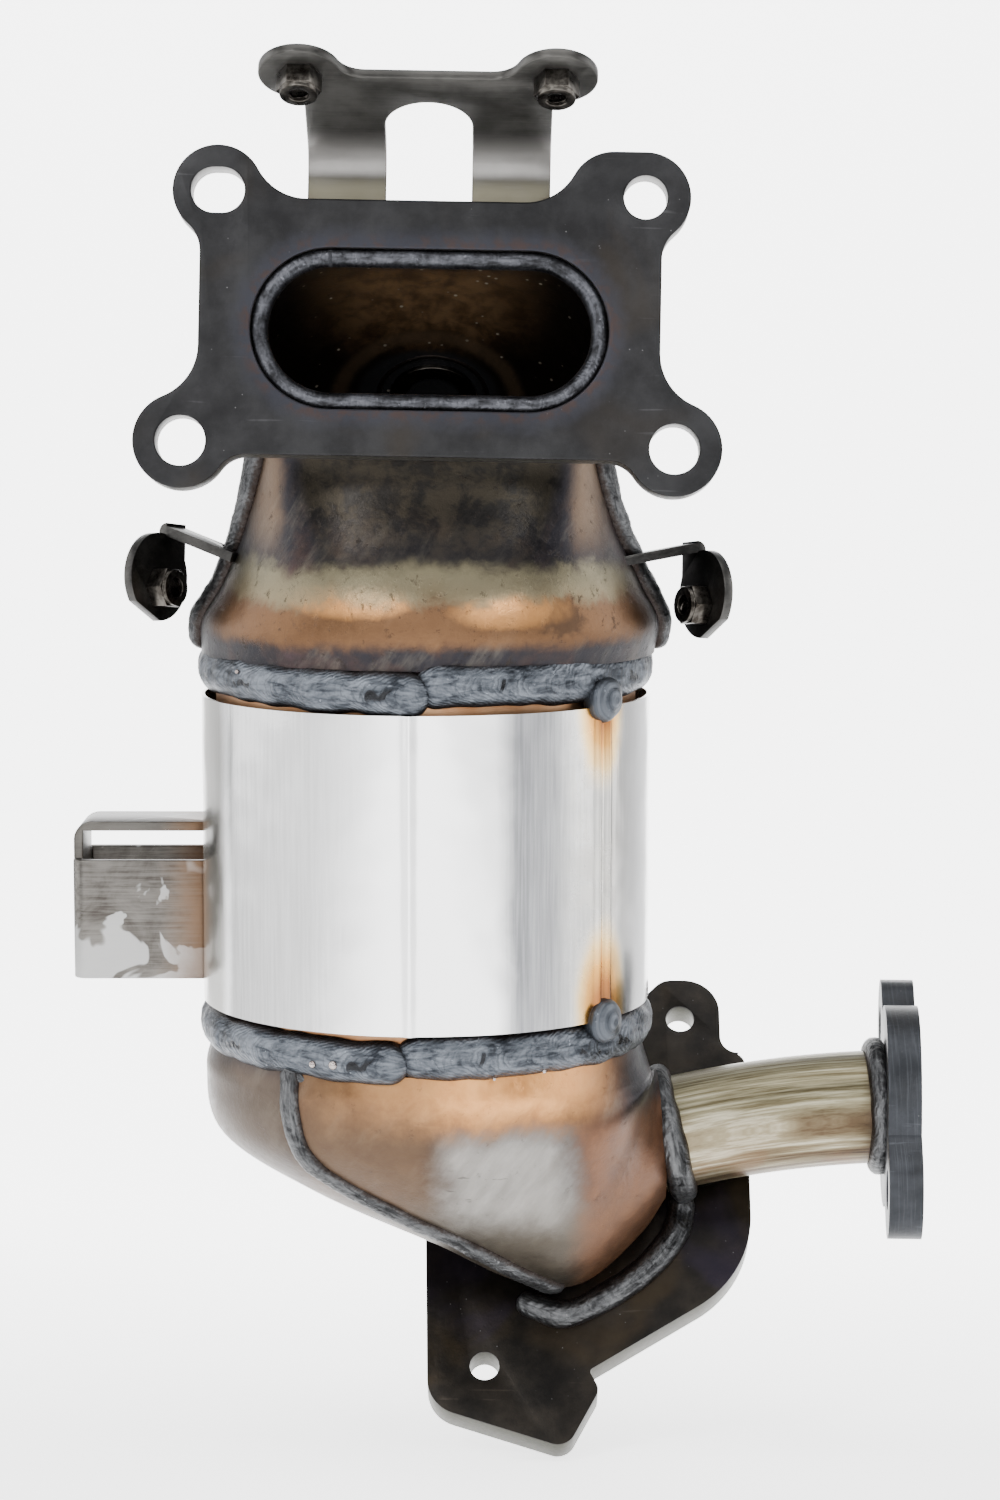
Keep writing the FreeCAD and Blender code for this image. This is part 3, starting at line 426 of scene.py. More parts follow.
RING_R = 57.4
SEAM_FOOT, SEAM_HEAD = can(0, 0, HOOD_RIM), can(0, -40, 136)
SEAM_WAY = (SEAM_HEAD - SEAM_FOOT).normalized()
paths = {}
paths["upper_ring_weld"] = ring_path(47.8, -92, 364.5, lambda s: 0.6 - 2.2 * smooth(0.75, 1.0, s))
paths["lower_ring_weld"] = ring_path(-47.6, -97, 364, lambda s: 0.4 - 1.6 * smooth(0.8, 1.0, s))
for side, name in ((-1, "hood_seam_weld_left"), (1, "hood_seam_weld_right")):
    way = can_way(side, 0, 0)
    line = spread([SEAM_FOOT + SEAM_WAY * up for up in (1.0, 10, 20, 33, 46, 60, 76)])
    paths[name] = on_skin(hood_tree, line, [way] * len(line))
CONE_SEAM = (
    (-34.4, -52.0), (-34.0, -64.0), (-29.5, -77.0), (-14.0, -88.5), (4.0, -98.8), (18.0, -107.2),
    (36.0, -119.6),
)
line = spread([can(x, -60, z) for x, z in CONE_SEAM])
paths["cone_seam_weld"] = on_skin(cone_tree, line, [can_way(0, -1, 0)] * len(line))

PIPE_R, PIPE_WALL = 15.4, 1.6
PIPE_START = Vector((62.4, 10.0, -83.1))
START_SLOPE, END_SLOPE = math.radians(14), math.radians(1)
PIPE_END_X = 134.1 - 9.0 + 4.0
BEND_R = (PIPE_END_X - PIPE_START.x) / (math.sin(START_SLOPE) - math.sin(END_SLOPE))


def pipe_at(x):
    """The pipe's centre line in the can's frame: centre and heading at that x."""
    turned = math.asin(math.sin(START_SLOPE) - (x - PIPE_START.x) / BEND_R)
    drop = BEND_R * (math.cos(turned) - math.cos(START_SLOPE))
    return Vector((x, 10.0, PIPE_START.z + drop)), Vector((math.cos(turned), 0, math.sin(turned)))


def pipe_ring(x, radius, count=260):
    centre, heading = pipe_at(x)
    side = Vector((0, 1, 0))
    up = heading.cross(side) * -1
    path = []
    for k in range(count):
        a = 2 * math.pi * k / count
        way = side * math.sin(a) + up * math.cos(a)
        path.append((can(*(centre + way * radius)), can_way(*way)))
    return path


paths["pipe_collar_weld"] = pipe_ring(66.6, PIPE_R + 0.9)
paths["pipe_flange_weld"] = pipe_ring(123.2, PIPE_R + 0.9)
STAY = Matrix.Translation((0, 27, -79)) @ Matrix.Rotation(math.radians(90 - 38), 4, "X")


def stay(x, s, out):
    return CAN @ STAY @ Vector((x, s, out))


STAY_SEAM = (
    (24.5, -57), (31, -60.0), (39.0, -61.5), (51.8, -54.6), (62.0, -46.4), (68.6, -36.5), (70.6, -26.0),
)
line = spread([stay(x, s, 0.6) for x, s in STAY_SEAM])
stay_way = (CAN.to_3x3() @ STAY.to_3x3() @ Vector((0, 0, 1))).normalized()
paths["stay_plate_weld"] = []
for p in line:
    near, normal, _, _ = cone_tree.find_nearest(p)
    away = p - near
    away = away.normalized() if away.length > 0.3 else stay_way
    paths["stay_plate_weld"].append((p, (stay_way * 1.2 + away * 0.5).normalized()))
weld_points = [p for path in paths.values() for p, _ in path]
weld_tree = KDTree(len(weld_points))
for number, p in enumerate(weld_points):
    weld_tree.insert(p, number)
weld_tree.balance()


def heat_at(p):
    """Distance to the nearest weld, in units of 40 mm."""
    return min(1.0, weld_tree.find(p)[2] / 40)


print("weld paths:", {key: len(path) for key, path in paths.items()})

# %% [markdown]
# ## Finishes
# Bare metal that has been hot: the tint runs from soot-dark at a weld through brown and
# straw to pale steel. Welds are blue-grey with glassy slag, the flange is mill scale.

# %% Finishes
def scale_steel(name, dark, light, warm, rough=0.42):
    """Hot-rolled plate: mottled scale, pale specks and a few long scratches."""
    p = Paint(name, 0.85)
    cloud = p.noise(0.06, 5, 0.62)
    fine = p.noise(0.9, 3, 0.7)
    p.base = p.mix(p.step(cloud, 0.3, 0.72), dark, light)
    p.coat(p.step(p.noise(0.035, 3, 0.5, warp=0.6), 0.52, 0.74) * 0.55, warm)
    specks = p.all_of((p.cells(0.42), 0.10, 0.03), (p.noise(0.11, 2), 0.52, 0.62))
    p.coat(specks * 0.5, (0.16, 0.16, 0.16))
    scratch = p.noise(1.0, 2, 0.5, p.shift((40, 900, 700)))
    long = p.all_of((scratch, 0.66, 0.72), (cloud, 0.45, 0.6))
    p.coat(long * 0.35, [min(1, 3 * v) for v in light])
    rough = rough + (fine - 0.5) * 0.16 + (cloud - 0.5) * 0.18
    return p.close(rough, fine * 0.6 + cloud * 0.4 + specks * 0.3, 0.35, 0.25)


def flange_finish():
    """The gasket face: darker round the port, with bright machined edges."""
    p = scale_steel("flange steel", (0.008, 0.008, 0.0085), (0.020, 0.020, 0.021), (0.019, 0.015, 0.011))
    x, y, z = p.axes(p.own_mm())
    over = (abs(x) - 24.75).op("MAXIMUM", 0.0)
    from_port = (over * over + z * z) ** 0.5 - 20.2
    ripple = p.noise(0.25, 3, 0.6)
    halo = p.step(from_port + (ripple - 0.5) * 5, 7.0, 0.5)
    p.coat(halo * 0.6, (0.022, 0.023, 0.031))
    brown = p.all_of((from_port, 4.2, 1.0), (from_port, -0.3, 0.9), (ripple, 0.45, 0.62))
    p.coat(brown * 0.5, (0.035, 0.018, 0.012))
    side = p.step(y, 0.15, 0.7)
    wire = p.noise(0.8, 2, 0.5, p.shift((1500, 200, 1500)))
    p.coat(side * 0.75, wire, (0.035, 0.033, 0.030), (0.11, 0.105, 0.095))
    p.put("Base Color", p.base)
    return p


def weld_finish(name, dark, light, lines=0.5, slag=0.9, pitch=2.1, sweep=5.0, shine=0.40,
                rim=(0.018, 0.011, 0.008)):
    """Laid metal: 'across' is -1 to 1 over the bead and 'along' is its length in mm."""
    p = Paint(name, 0.9)
    across, along = p.attribute("across"), p.attribute("along")
    place = p.join(across * 4.5, along, 0.0)
    cloud = p.noise(0.10, 4, 0.6, place, 0.8)
    fine = p.noise(1.3, 4, 0.65)
    flow = p.noise(1.0, 4, 0.62, p.join(across * 3.6, along * 0.17, 2.0), 0.5)
    p.base = p.mix(p.step(cloud * 0.45 + flow * 0.55, 0.36, 0.64), dark, light)
    arc = along / pitch - across * across * sweep + (p.noise(0.22, 3, 0.6, place) - 0.5) * 3.4
    wave = (arc * 6.2832).op("SINE") * 0.5 + 0.5
    faint = p.step(p.noise(0.07, 2, 0.5, place), 0.38, 0.6)
    p.coat(p.step(wave, 0.45, 0.0) * lines * faint * 0.8, [v * 0.22 for v in dark])
    middle = p.step(abs(across + (cloud - 0.5) * 0.5), 0.42, 0.12)
    spots = p.noise(0.30, 1, 0.4, p.join(across * 3.2, along * 0.62, 7.0), 1.0)
    spot = p.step(spots, 0.62, 0.655) * middle * slag
    p.coat(spot, (0.012, 0.012, 0.013))
    # Painted glints: small bright specks of highlight on the bead.
    glint = p.step(p.noise(0.55, 3, 0.7), 0.66, 0.74)
    p.coat(glint * 0.5, [min(1.0, v * 2.2) for v in light])
    edge = p.step(abs(across) + (fine - 0.5) * 0.35 + (cloud - 0.5) * 0.3, 0.68, 0.95)
    p.coat(edge * 0.85, rim)
    rough = shine - spot * 0.2 + (fine - 0.5) * 0.22 + edge * 0.12
    return p.close(rough, wave * 0.35 + fine * 0.6 + cloud * 0.9 - spot * 0.5, 0.55, 0.4)


def tinted(name, hood_reflection_and_tint=False, gold=False):
    """Pressed stainless that takes its tint from 'heat', the distance to the welds; painted reflection,
    highlights and shade are laid over it.
    """
    p = Paint(name, 0.82)
    heat = p.attribute("heat")
    x, y, z = p.axes(p.can_mm())
    drift = p.noise(0.045, 4, 0.6, warp=0.5)
    smear = p.noise(0.16, 5, 0.65, warp=0.3)
    fine = p.noise(1.1, 3, 0.65)
    streak = p.noise(1.0, 4, 0.65, p.join(x * 0.16 - z * 0.10, y * 0.1, x * 0.02 + z * 0.035))
    t = heat + (drift - 0.5) * 0.24 + (smear - 0.5) * 0.10
    p.base = p.ramp(t, [
        (0.00, (0.012, 0.011, 0.014)), (0.05, (0.030, 0.018, 0.016)), (0.10, (0.080, 0.038, 0.020)),
        (0.17, (0.15, 0.080, 0.038)), (0.28, (0.20, 0.130, 0.070)), (0.42, (0.165, 0.130, 0.088)),
        (0.60, (0.135, 0.118, 0.094)), (1.00, (0.16, 0.145, 0.12)),
    ])
    violet = p.all_of((t, 0.02, 0.10), (t, 0.2, 0.11), (p.noise(0.07, 2), 0.42, 0.6))
    p.coat(violet * 0.6, (0.030, 0.020, 0.042))
    p.coat(p.step(streak, 0.48, 0.75) * 0.14, (0.26, 0.23, 0.18))
    p.coat(p.step(streak, 0.5, 0.28) * 0.18, (0.05, 0.034, 0.022))
    gloss = 0.37 + (fine - 0.5) * 0.16 + (smear - 0.5) * 0.30
    dirt = p.step(p.noise(0.30, 6, 0.78, warp=0.3), 0.585, 0.68)
    if hood_reflection_and_tint:
        # Painted reflection of the flange: a dark trapezoid on the hood's front below it, fading downwards.
        bend = (drift - 0.5) * 9 + (smear - 0.5) * 7
        half = 27.5 + p.step(z, 74.0, 104.0) * 6.0
        inside = p.step(abs(x - 1.5) + bend * 0.6, half + 2.0, half - 2.4)
        inside = inside * p.all_of((z + bend * 0.4, 73.0, 77.0), (y, -8.0, -24.0))
        weak = 0.93 - p.step(z + bend, 96.0, 78.0) * 0.42
        dark = p.mix(p.step(smear, 0.4, 0.6), (0.005, 0.0042, 0.003), (0.018, 0.0145, 0.009))
        p.coat(inside * weak, dark)
        flank = p.all_of((abs(x - 1.0) + bend * 0.3, 35, 40), (abs(x - 1.0), 49, 43), (z, 76, 90))
        p.coat(flank * 0.5, (0.14, 0.09, 0.052))
        # A bronze tint band round the hood's shoulder, with two painted highlights where the shoulder catches
        # the light.
        belly = p.all_of((z + bend * 0.5, 56, 60), (z + bend, 76, 66), (y, -10, -36))
        warm = p.mix(smear, (0.085, 0.038, 0.014), (0.16, 0.082, 0.034))
        for highlight_x, highlight_z, reach in ((-18.0, 69.5, 15.0), (22.8, 67.0, 14.0)):
            far = ((x - highlight_x) / reach) ** 2.0 + ((z - highlight_z) / 4.2) ** 2.0 + (smear - 0.5) * 1.6
            warm = p.mix(p.step(far, 1.6, 0.1), warm, (0.50, 0.235, 0.075))
        p.coat(belly * 0.75, warm)
        green = p.all_of((z + bend, 67, 71), (z + bend, 80, 75), (y, -10, -36))
        p.coat(green * 0.6, (0.17, 0.148, 0.088))
        sharp = p.all_of((p.noise(0.34, 6, 0.8, warp=0.3), 0.585, 0.64), (z, 86, 70))
        off_patch = (((x - 36.0) / 7.0) ** 2.0 + ((z - 64.5) / 4.5) ** 2.0) ** 0.5
        patch = p.step(off_patch + (smear - 0.5) * 2.4, 1.1, 0.6)
        dirt = (dirt + sharp + patch).op("MINIMUM", 1.0)
    if gold:
        bend = (drift - 0.5) * 8 + (smear - 0.5) * 6
        # Gold heat tint at the top of the cone, painted brighter as a highlight.
        glow = p.all_of((z + bend, -72, -56), (x + bend, -38, 6), (x, 56, 30), (y, -6, -30))
        p.coat(glow * 0.85, smear, (0.50, 0.18, 0.04), (0.85, 0.44, 0.16))
        brown = p.all_of((x + bend, 14, -4), (x, -40, -26), (y, 0, -20))
        p.coat(brown * 0.6, smear, (0.080, 0.041, 0.018), (0.145, 0.088, 0.046))
        lobe = p.all_of((x, -30, -40), (z, -50, -58))
        p.coat(lobe * 0.55, smear, (0.075, 0.048, 0.030), (0.125, 0.098, 0.070))
        low = p.step(z + bend, -84, -98)
        p.coat(low * 0.75, smear, (0.040, 0.030, 0.020), (0.082, 0.070, 0.050))
        collar = p.all_of((x + bend * 0.4, 36, 46), (z, -64, -72))
        p.coat(collar * 0.8, smear, (0.050, 0.019, 0.009), (0.20, 0.092, 0.042))
        pale = p.all_of((z + bend, -64, -74), (z + x * 0.1 + bend, -100, -86), (x + bend, 0, 12))
        pale = pale * p.all_of((x + bend, 44, 32), (y, 0, -16))
        p.coat(pale * 0.7, streak, (0.13, 0.12, 0.105), (0.42, 0.405, 0.38))
        scuff = p.step(p.noise(0.5, 3, 0.6, p.join(x * 0.25 + z * 0.2, y * 0.6, z * 0.9)), 0.61, 0.68)
        spot = p.step(((x - 12.5) / 12.0) ** 2.0 + ((z + 83.0) / 6.0) ** 2.0, 1.2, 0.3)
        dirt = dirt * 0.6 + scuff * spot * 0.9
    p.coat(dirt * 0.5, (0.020, 0.014, 0.010))
    within = p.step(p.attribute("inside"), 0.3, 0.7)
    # Painted shade inside the shells: dark, with a lit brown middle on the hood's back wall seen through the
    # port.
    middle = p.all_of((abs(x) + (smear - 0.5) * 10, 38, 10), (z + (smear - 0.5) * 8, 127, 143), (z, 158, 149))
    glow = p.mix(p.step(smear, 0.35, 0.65), (0.11, 0.062, 0.030), (0.26, 0.155, 0.078))
    inner_tint_and_shade = p.mix(middle, (0.012, 0.0085, 0.006), glow)
    # Round the boss: a painted highlight arc on the dimple's rim and painted shade inside it.
    from_boss = (x * x * 0.55 + (z - 117.0) ** 2.0) ** 0.5 + (smear - 0.5) * 1.5
    arc = p.all_of((from_boss, 15.5, 17.5), (from_boss, 20.5, 18.5))
    inner_tint_and_shade = p.mix(arc * 0.55, inner_tint_and_shade, (0.17, 0.115, 0.07))
    inner_tint_and_shade = p.mix(p.step(from_boss, 15.5, 13.5) * 0.8, inner_tint_and_shade, (0.035, 0.037, 0.042))
    flecks = p.all_of((p.cells(0.26), 0.16, 0.08), (p.noise(0.12, 2), 0.47, 0.56))
    p.coat(within, flecks * 0.6, inner_tint_and_shade, (0.75, 0.68, 0.56))
    p.put("Metallic", 0.82 - within * 0.32)
    return p.close(gloss + dirt * 0.16, fine * 0.5 + smear * 1.2 + dirt * 0.4, 0.30, 0.35)


def can_finish():
    """Brown beside the shield and nearly black at the ring welds."""
    p = Paint("can steel", 1.0, 0.4)
    x, y, z = p.axes(p.can_mm())
    cloud = p.noise(0.05, 4, 0.6)
    away = (abs(z) - 41) / 6.0 + (cloud - 0.5) * 1.2
    stops = [(0.0, (0.34, 0.20, 0.11)), (0.4, (0.20, 0.09, 0.04)), (1.0, (0.04, 0.030, 0.034))]
    p.put("Base Color", p.ramp(away, stops))
    p.put("Roughness", 0.4 + (p.noise(0.35, 4, 0.6) - 0.5) * 0.12)
    return p


def shield_finish():
    """Bright wrap: painted reflection bands round it, upright polish, soft flow marks and gold at the two
    plug welds.
    """
    p = Paint("shield steel", 1.0)
    x, y, z = p.axes(p.can_mm())
    turn = p.node("ShaderNodeMath", {"operation": "ARCTAN2"}, {0: x, 1: -y}) * 57.2958
    polish = p.noise(1.0, 4, 0.6, p.join(turn * 1.1, z * 0.03, 0.0))
    cloud = p.noise(0.045, 4, 0.62, warp=0.4)
    # The ramp round the can paints reflection bands: white where the softboxes would show, grey and dark in
    # the gaps between them.
    p.base = p.ramp(((turn + (cloud - 0.5) * 5) + 90.0) / 180.0, [
        (0.055, (0.60, 0.58, 0.54)), (0.150, (0.56, 0.55, 0.52)), (0.172, (1.0, 1.0, 1.0)),
        (0.188, (0.40, 0.40, 0.40)), (0.34, (0.52, 0.52, 0.52)), (0.45, (0.92, 0.92, 0.92)),
        (0.60, (1.0, 1.0, 1.0)), (0.632, (0.20, 0.203, 0.215)), (0.69, (0.25, 0.25, 0.255)),
        (0.725, (0.50, 0.50, 0.49)), (0.80, (0.38, 0.365, 0.34)), (0.90, (1.0, 1.0, 1.0)),
    ])
    p.coat(p.step(polish, 0.3, 0.7) * 0.18, (0.95, 0.95, 0.95))
    # Painted reflection of the dark gap between the front and right softboxes.
    gap_reflection = p.all_of((turn + (cloud - 0.5) * 5, 22, 30), (turn + (cloud - 0.5) * 5, 43, 33))
    p.coat(gap_reflection * 0.15, (0.50, 0.51, 0.535))
    # A dimmer painted reflection band that is also a little rougher.
    dull_and_dim_reflection = p.all_of((turn, 34, 46), (turn, 60, 50), (p.noise(0.06, 5, 0.7, warp=0.8), 0.42, 0.56))
    p.coat(dull_and_dim_reflection * 0.5, (0.52, 0.50, 0.46))
    for height, span in ((43.0, 17.0), (-41.0, 19.0)):
        gap_x = (turn - 51.0) * 1.05
        gap_z = z - height
        far = ((gap_x * 1.45) ** 2.0 + (gap_z * 0.62) ** 2.0) ** 0.5 + (cloud - 0.5) * 5
        tint = p.ramp(far / span, [
            (0.0, (0.10, 0.05, 0.03)), (0.28, (0.30, 0.12, 0.04)), (0.48, (0.62, 0.31, 0.08)),
            (0.70, (0.80, 0.56, 0.26)), (1.0, (0.84, 0.80, 0.70)),
        ])
        p.coat(p.step(far / span, 1.0, 0.62), tint)
    rough = 0.20 + (polish - 0.5) * 0.12 + dull_and_dim_reflection * 0.12 + gap_reflection * 0.05
    return p.close(rough, polish * 0.4 + cloud * 1.6, 0.10, 0.5)


def pipe_finish():
    """Bent tube: drawn lines along it, olive above and copper below."""
    p = Paint("pipe steel", 0.8)
    x, y, z = p.axes(p.can_mm())
    around = p.attribute("around")
    lines = p.noise(1.0, 5, 0.7, p.join(around * 26.0, x * 0.03, 3.0))
    broad = p.noise(1.0, 2, 0.5, p.join(around * 7.0, x * 0.02, 9.0))
    p.base = p.ramp((lines * 0.5 + broad * 0.5 - 0.5) * 1.7 + 0.52, [
        (0.28, (0.022, 0.012, 0.006)), (0.40, (0.070, 0.046, 0.024)), (0.50, (0.125, 0.097, 0.056)),
        (0.60, (0.19, 0.16, 0.10)), (0.74, (0.42, 0.385, 0.29)),
    ])
    copper = p.all_of((p.noise(0.07, 3, 0.5), 0.45, 0.62), (z - x * 0.1, -86, -98))
    p.coat(copper * 0.4, (0.12, 0.055, 0.024))
    top = p.step(z - x * 0.08, -84.5, -77.0)
    olive = p.mix(p.step(lines, 0.35, 0.65), (0.062, 0.056, 0.026), (0.25, 0.235, 0.15))
    p.coat(top * 0.6, olive)
    ends = (p.step(x, 66, 59) + p.step(x, 117, 122)).op("MINIMUM", 1.0)
    p.coat(ends * 0.75, (0.035, 0.021, 0.013))
    return p.close(0.33 + (lines - 0.5) * 0.2, lines, 0.35, 0.25)


def strip_finish(name, dark, light, brown=False):
    """Brushed strip; brown adds the tinted feet of the upper bracket and painted light on its bend."""
    p = Paint(name, 1.0)
    cloud = p.noise(0.07, 4, 0.6)
    brushed = p.noise(1.0, 4, 0.65, p.shift((120, 1600, 1600)))
    p.base = p.mix(p.step(cloud * 0.75 + brushed * 0.25, 0.32, 0.66), dark, light)
    pits = p.all_of((p.cells(0.33), 0.12, 0.05), (p.noise(0.15, 2), 0.55, 0.63))
    p.coat(pits * 0.7, (0.04, 0.04, 0.04))
    if brown:
        x, y, z = p.axes(p.own_mm())
        foot = p.step(z + (cloud - 0.5) * 5, 37.0, 31.5)
        edge = p.step(abs(abs(x + 1.0) - 20.8), 6.0, 10.5)
        p.coat(foot * edge * 0.9, (0.030, 0.011, 0.014))
        gold = p.step(z + (cloud - 0.5) * 4, 41.5, 36.0)
        p.coat(gold * 0.45, (0.19, 0.175, 0.12))
        # Painted light on the bend: lighter and less metallic, as if it caught the light.
        bend = p.all_of((z + (cloud - 0.5) * 1.5, 50.5, 45.5), (z, 39.5, 42.5))
        p.coat(bend * 0.85, cloud, (0.20, 0.19, 0.18), (0.36, 0.35, 0.335))
        p.put("Metallic", 0.92 - bend * 0.55 - p.step(z, 47, 51) * 0.25)
    return p.close(0.36 + (brushed - 0.5) * 0.16 + (cloud - 0.5) * 0.12, brushed * 0.4 + cloud, 0.25, 0.25)


def box_finish():
    """The folded bracket: lines drawn along it, brighter patches low down, brown by the can."""
    p = Paint("folded bracket steel", 1.0)
    x, y, z = p.axes(p.can_mm())
    lines = p.noise(1.0, 4, 0.65, p.join(x * 0.05, y * 1.2, z * 1.2))
    cloud = p.noise(0.075, 5, 0.65, warp=0.5)
    drawn = p.step(lines * 0.5 + cloud * 0.5, 0.32, 0.62)
    p.base = p.mix(drawn, (0.040, 0.035, 0.031), (0.125, 0.118, 0.108))
    bright = p.step(p.noise(0.055, 3, 0.6, warp=1.0) + p.step(z, -20, -30) * 0.16, 0.60, 0.64)
    p.coat(bright * 0.8, (0.34, 0.34, 0.335))
    p.coat(p.step(z, -6.0, -3.0) * 0.6, (0.055, 0.052, 0.047))
    warm = p.step(x + (cloud - 0.5) * 14, -74.0, -58.0)
    p.coat(warm * 0.7, (0.12, 0.06, 0.026))
    return p.close(0.36 + (lines - 0.5) * 0.18, lines, 0.3, 0.2)


def stay_finish():
    """Nearly black plate with a violet patch and worn cut edges."""
    p = scale_steel("stay steel", (0.004, 0.0035, 0.003), (0.016, 0.013, 0.010), (0.028, 0.019, 0.009), 0.38)
    x, y, z = p.axes(p.can_mm())
    cloud = p.noise(0.03, 3, 0.5, warp=0.7)
    violet = p.all_of((cloud, 0.52, 0.66), (z, -150, -125))
    p.coat(violet * 0.45, (0.016, 0.012, 0.024))
    face = y * -0.788 + z * 0.6157 + 21.28 + 48.63
    side = p.step(face, -0.15, -0.9)
    wire = p.noise(1.0, 3, 0.6, p.join(x * 0.9, face * 0.12, z * 0.9))
    p.coat(side * 0.8, wire, (0.022, 0.024, 0.016), (0.075, 0.072, 0.05))
    p.put("Base Color", p.base)
    return p


def outlet_flange_finish():
    """Blue-grey plate with faint cutting marks."""
    p = scale_steel("outlet flange steel", (0.014, 0.0155, 0.018), (0.032, 0.034, 0.039),
                    (0.022, 0.022, 0.022), 0.40)
    x, y, z = p.axes(p.can_mm())
    cut = p.noise(1.0, 3, 0.6, p.join(x * 2.4, y * 0.05, z * 0.05))
    p.coat(p.step(cut, 0.5, 0.68) * 0.5, (0.05, 0.053, 0.06))
    p.put("Base Color", p.base)
    return p


def simple(name, colour, rough, metallic=1.0, other=None):
    """One colour, or two in clouds."""
    p = Paint(name, metallic)
    cloud = p.noise(0.3, 4, 0.65)
    p.base = p.mix(p.step(cloud, 0.35, 0.68), colour, other or colour)
    return p.close(rough + (cloud - 0.5) * 0.2, cloud, 0.3)


def brick_finish():
    """Square cells of the ceramic."""
    p = Paint("monolith", 0.0, 0.9)
    x, y, z = p.axes(p.can_mm())
    cell = [abs((v / 1.25).op("FRACT") - 0.5) for v in (x, y)]
    wall = p.step(cell[0].op("MAXIMUM", cell[1]), 0.34, 0.42)
    p.put("Base Color", p.mix(wall, (0.03, 0.025, 0.02), (0.40, 0.34, 0.25)))
    return p


flange_paint = flange_finish()
weld_paint = weld_finish("weld metal", (0.014, 0.0165, 0.021), (0.125, 0.138, 0.158))
seam_paint = weld_finish("seam weld", (0.012, 0.0122, 0.013), (0.095, 0.097, 0.10), 0.35, 0.5, 2.6, 2.0)
lip_paint = weld_finish("port weld", (0.011, 0.0112, 0.0125), (0.072, 0.074, 0.084), 0.18, 0.0, 1.6, 1.5,
                        0.36, (0.013, 0.013, 0.014))
hood_paint, cone_paint = tinted("hood steel", hood_reflection_and_tint=True), tinted("cone steel", gold=True)
shield_paint, pipe_paint, box_paint = shield_finish(), pipe_finish(), box_finish()
stay_paint, outlet_paint = stay_finish(), outlet_flange_finish()
strip_paint = strip_finish("upper bracket steel", (0.022, 0.021, 0.019), (0.056, 0.054, 0.050), brown=True)
side_paint = strip_finish("side bracket steel", (0.018, 0.0175, 0.017), (0.062, 0.060, 0.057))
nut_paint = simple("nut steel", (0.020, 0.017, 0.014), 0.3, other=(0.10, 0.092, 0.082))
can_paint, brick_paint = can_finish(), brick_finish()
mat_paint = simple("mat fibre", (0.55, 0.53, 0.48), 0.9, metallic=0.0)
spatter_paint = simple("spatter", (0.20, 0.16, 0.15), 0.25, other=(0.45, 0.42, 0.40))
print("materials:", len(bpy.data.materials))

# %% [markdown]
# ## Hood and cone
# Each skin is one surface split into its two pressings, given a wall and a heat value at
# every point.

# %% Shells
def pressing(bm, rows, chosen, wall):
    """The chosen faces of a skin with an inner wall and closed rims."""
    outer = bmesh.new()
    made, faces = grid(outer, rows)
    outer.normal_update()
    middle = sum((v.co for v in made[len(made) // 2]), Vector()) / len(made[0])
    probe = made[len(made) // 2][0]
    sign = 1 if (probe.co - middle).dot(probe.normal) > 0 else -1
    heat = bm.verts.layers.float.new("heat")
    inside = bm.verts.layers.float.new("inside")
    pairs = {}

    def pair(v):
        if v.index not in pairs:
            top = bm.verts.new(v.co)
            low = bm.verts.new(v.co - v.normal * sign * wall)
            top[heat] = low[heat] = heat_at(v.co)
            low[inside] = 1.0
            pairs[v.index] = (top, low)
        return pairs[v.index]

    outer.verts.index_update()
    picked = {f for f in faces if chosen(f.calc_center_median())}
    for face in picked:
        ends = [pair(v) for v in face.verts]
        bm.faces.new([e[0] for e in ends])
        bm.faces.new([e[1] for e in reversed(ends)])
        for edge in face.edges:
            if sum(f in picked for f in edge.link_faces) == 1:
                a, b = (pair(v) for v in edge.verts)
                bm.faces.new((a[0], b[0], b[1], a[1]))
    outer.free()


def racetrack(half_w, half_h, y, turns=48):
    """A ring of points round the port's shape at that depth."""
    run, ring = half_w - half_h, []
    for k in range(turns):
        a = 2 * math.pi * (k + 0.5) / turns
        side = run if math.cos(a) > 0 else -run
        ring.append(Vector((side + half_h * math.cos(a), y, half_h * math.sin(a))))
    return ring


SEAM_NORMAL = can_way(1, 0, 0).cross(SEAM_WAY)
front_sign = 1 if SEAM_NORMAL.dot(can_way(0, -1, 0)) > 0 else -1


def hood_front(p):
    return (p - SEAM_FOOT).dot(SEAM_NORMAL) * front_sign > 0


SEAM_LINE = (
    (-45.0, -34.5), (-66.0, -34.0), (-80.0, -27.0), (-91.5, -8.0), (-107.0, 18.0), (-126.5, 38.0),
    (-150.0, 46.0),
)
INVERSE = CAN.inverted()


def cone_front(p):
    q = INVERSE @ p
    for (z0, x0), (z1, x1) in zip(SEAM_LINE, SEAM_LINE[1:]):
        if z1 <= q.z <= z0:
            return q.x > x0 + (x1 - x0) * (q.z - z0) / (z1 - z0) and q.y < 10
    return False


COLLAR = ((43.2, 18.45, 4.8), (44.95, 20.2, 4.8), (44.95, 20.2, 12.2), (43.2, 18.45, 12.2))
SKINS = (
    ("inlet_hood", hood_rows, hood_front, hood_paint),
    ("outlet_cone", cone_rows, cone_front, cone_paint),
)
for name, rows, test, paint in SKINS:
    for half, want in (("front", True), ("rear", False)):
        bm = bmesh.new()
        pressing(bm, rows, lambda p: test(p) == want, SHEET)
        if name == "inlet_hood" and want:
            grid(bm, [racetrack(*size) for size in COLLAR], wrap_along=True)
        made = keep(bm, name + "_" + half + "_look", paint, [name + "_" + half], 50)
        print(made.name, len(made.data.polygons), "faces")

# %% [markdown]
# ## Weld beads
# A bead is swept along its path: a rounded crown, scalloped ripples that trail back from
# the middle, and some wander in width and height. Open beads end in a rounded tail.

# %% Weld beads
BEAD_ACROSS, RIPPLE_PITCH, BEAD_SINK = 20, 2.3, 0.9


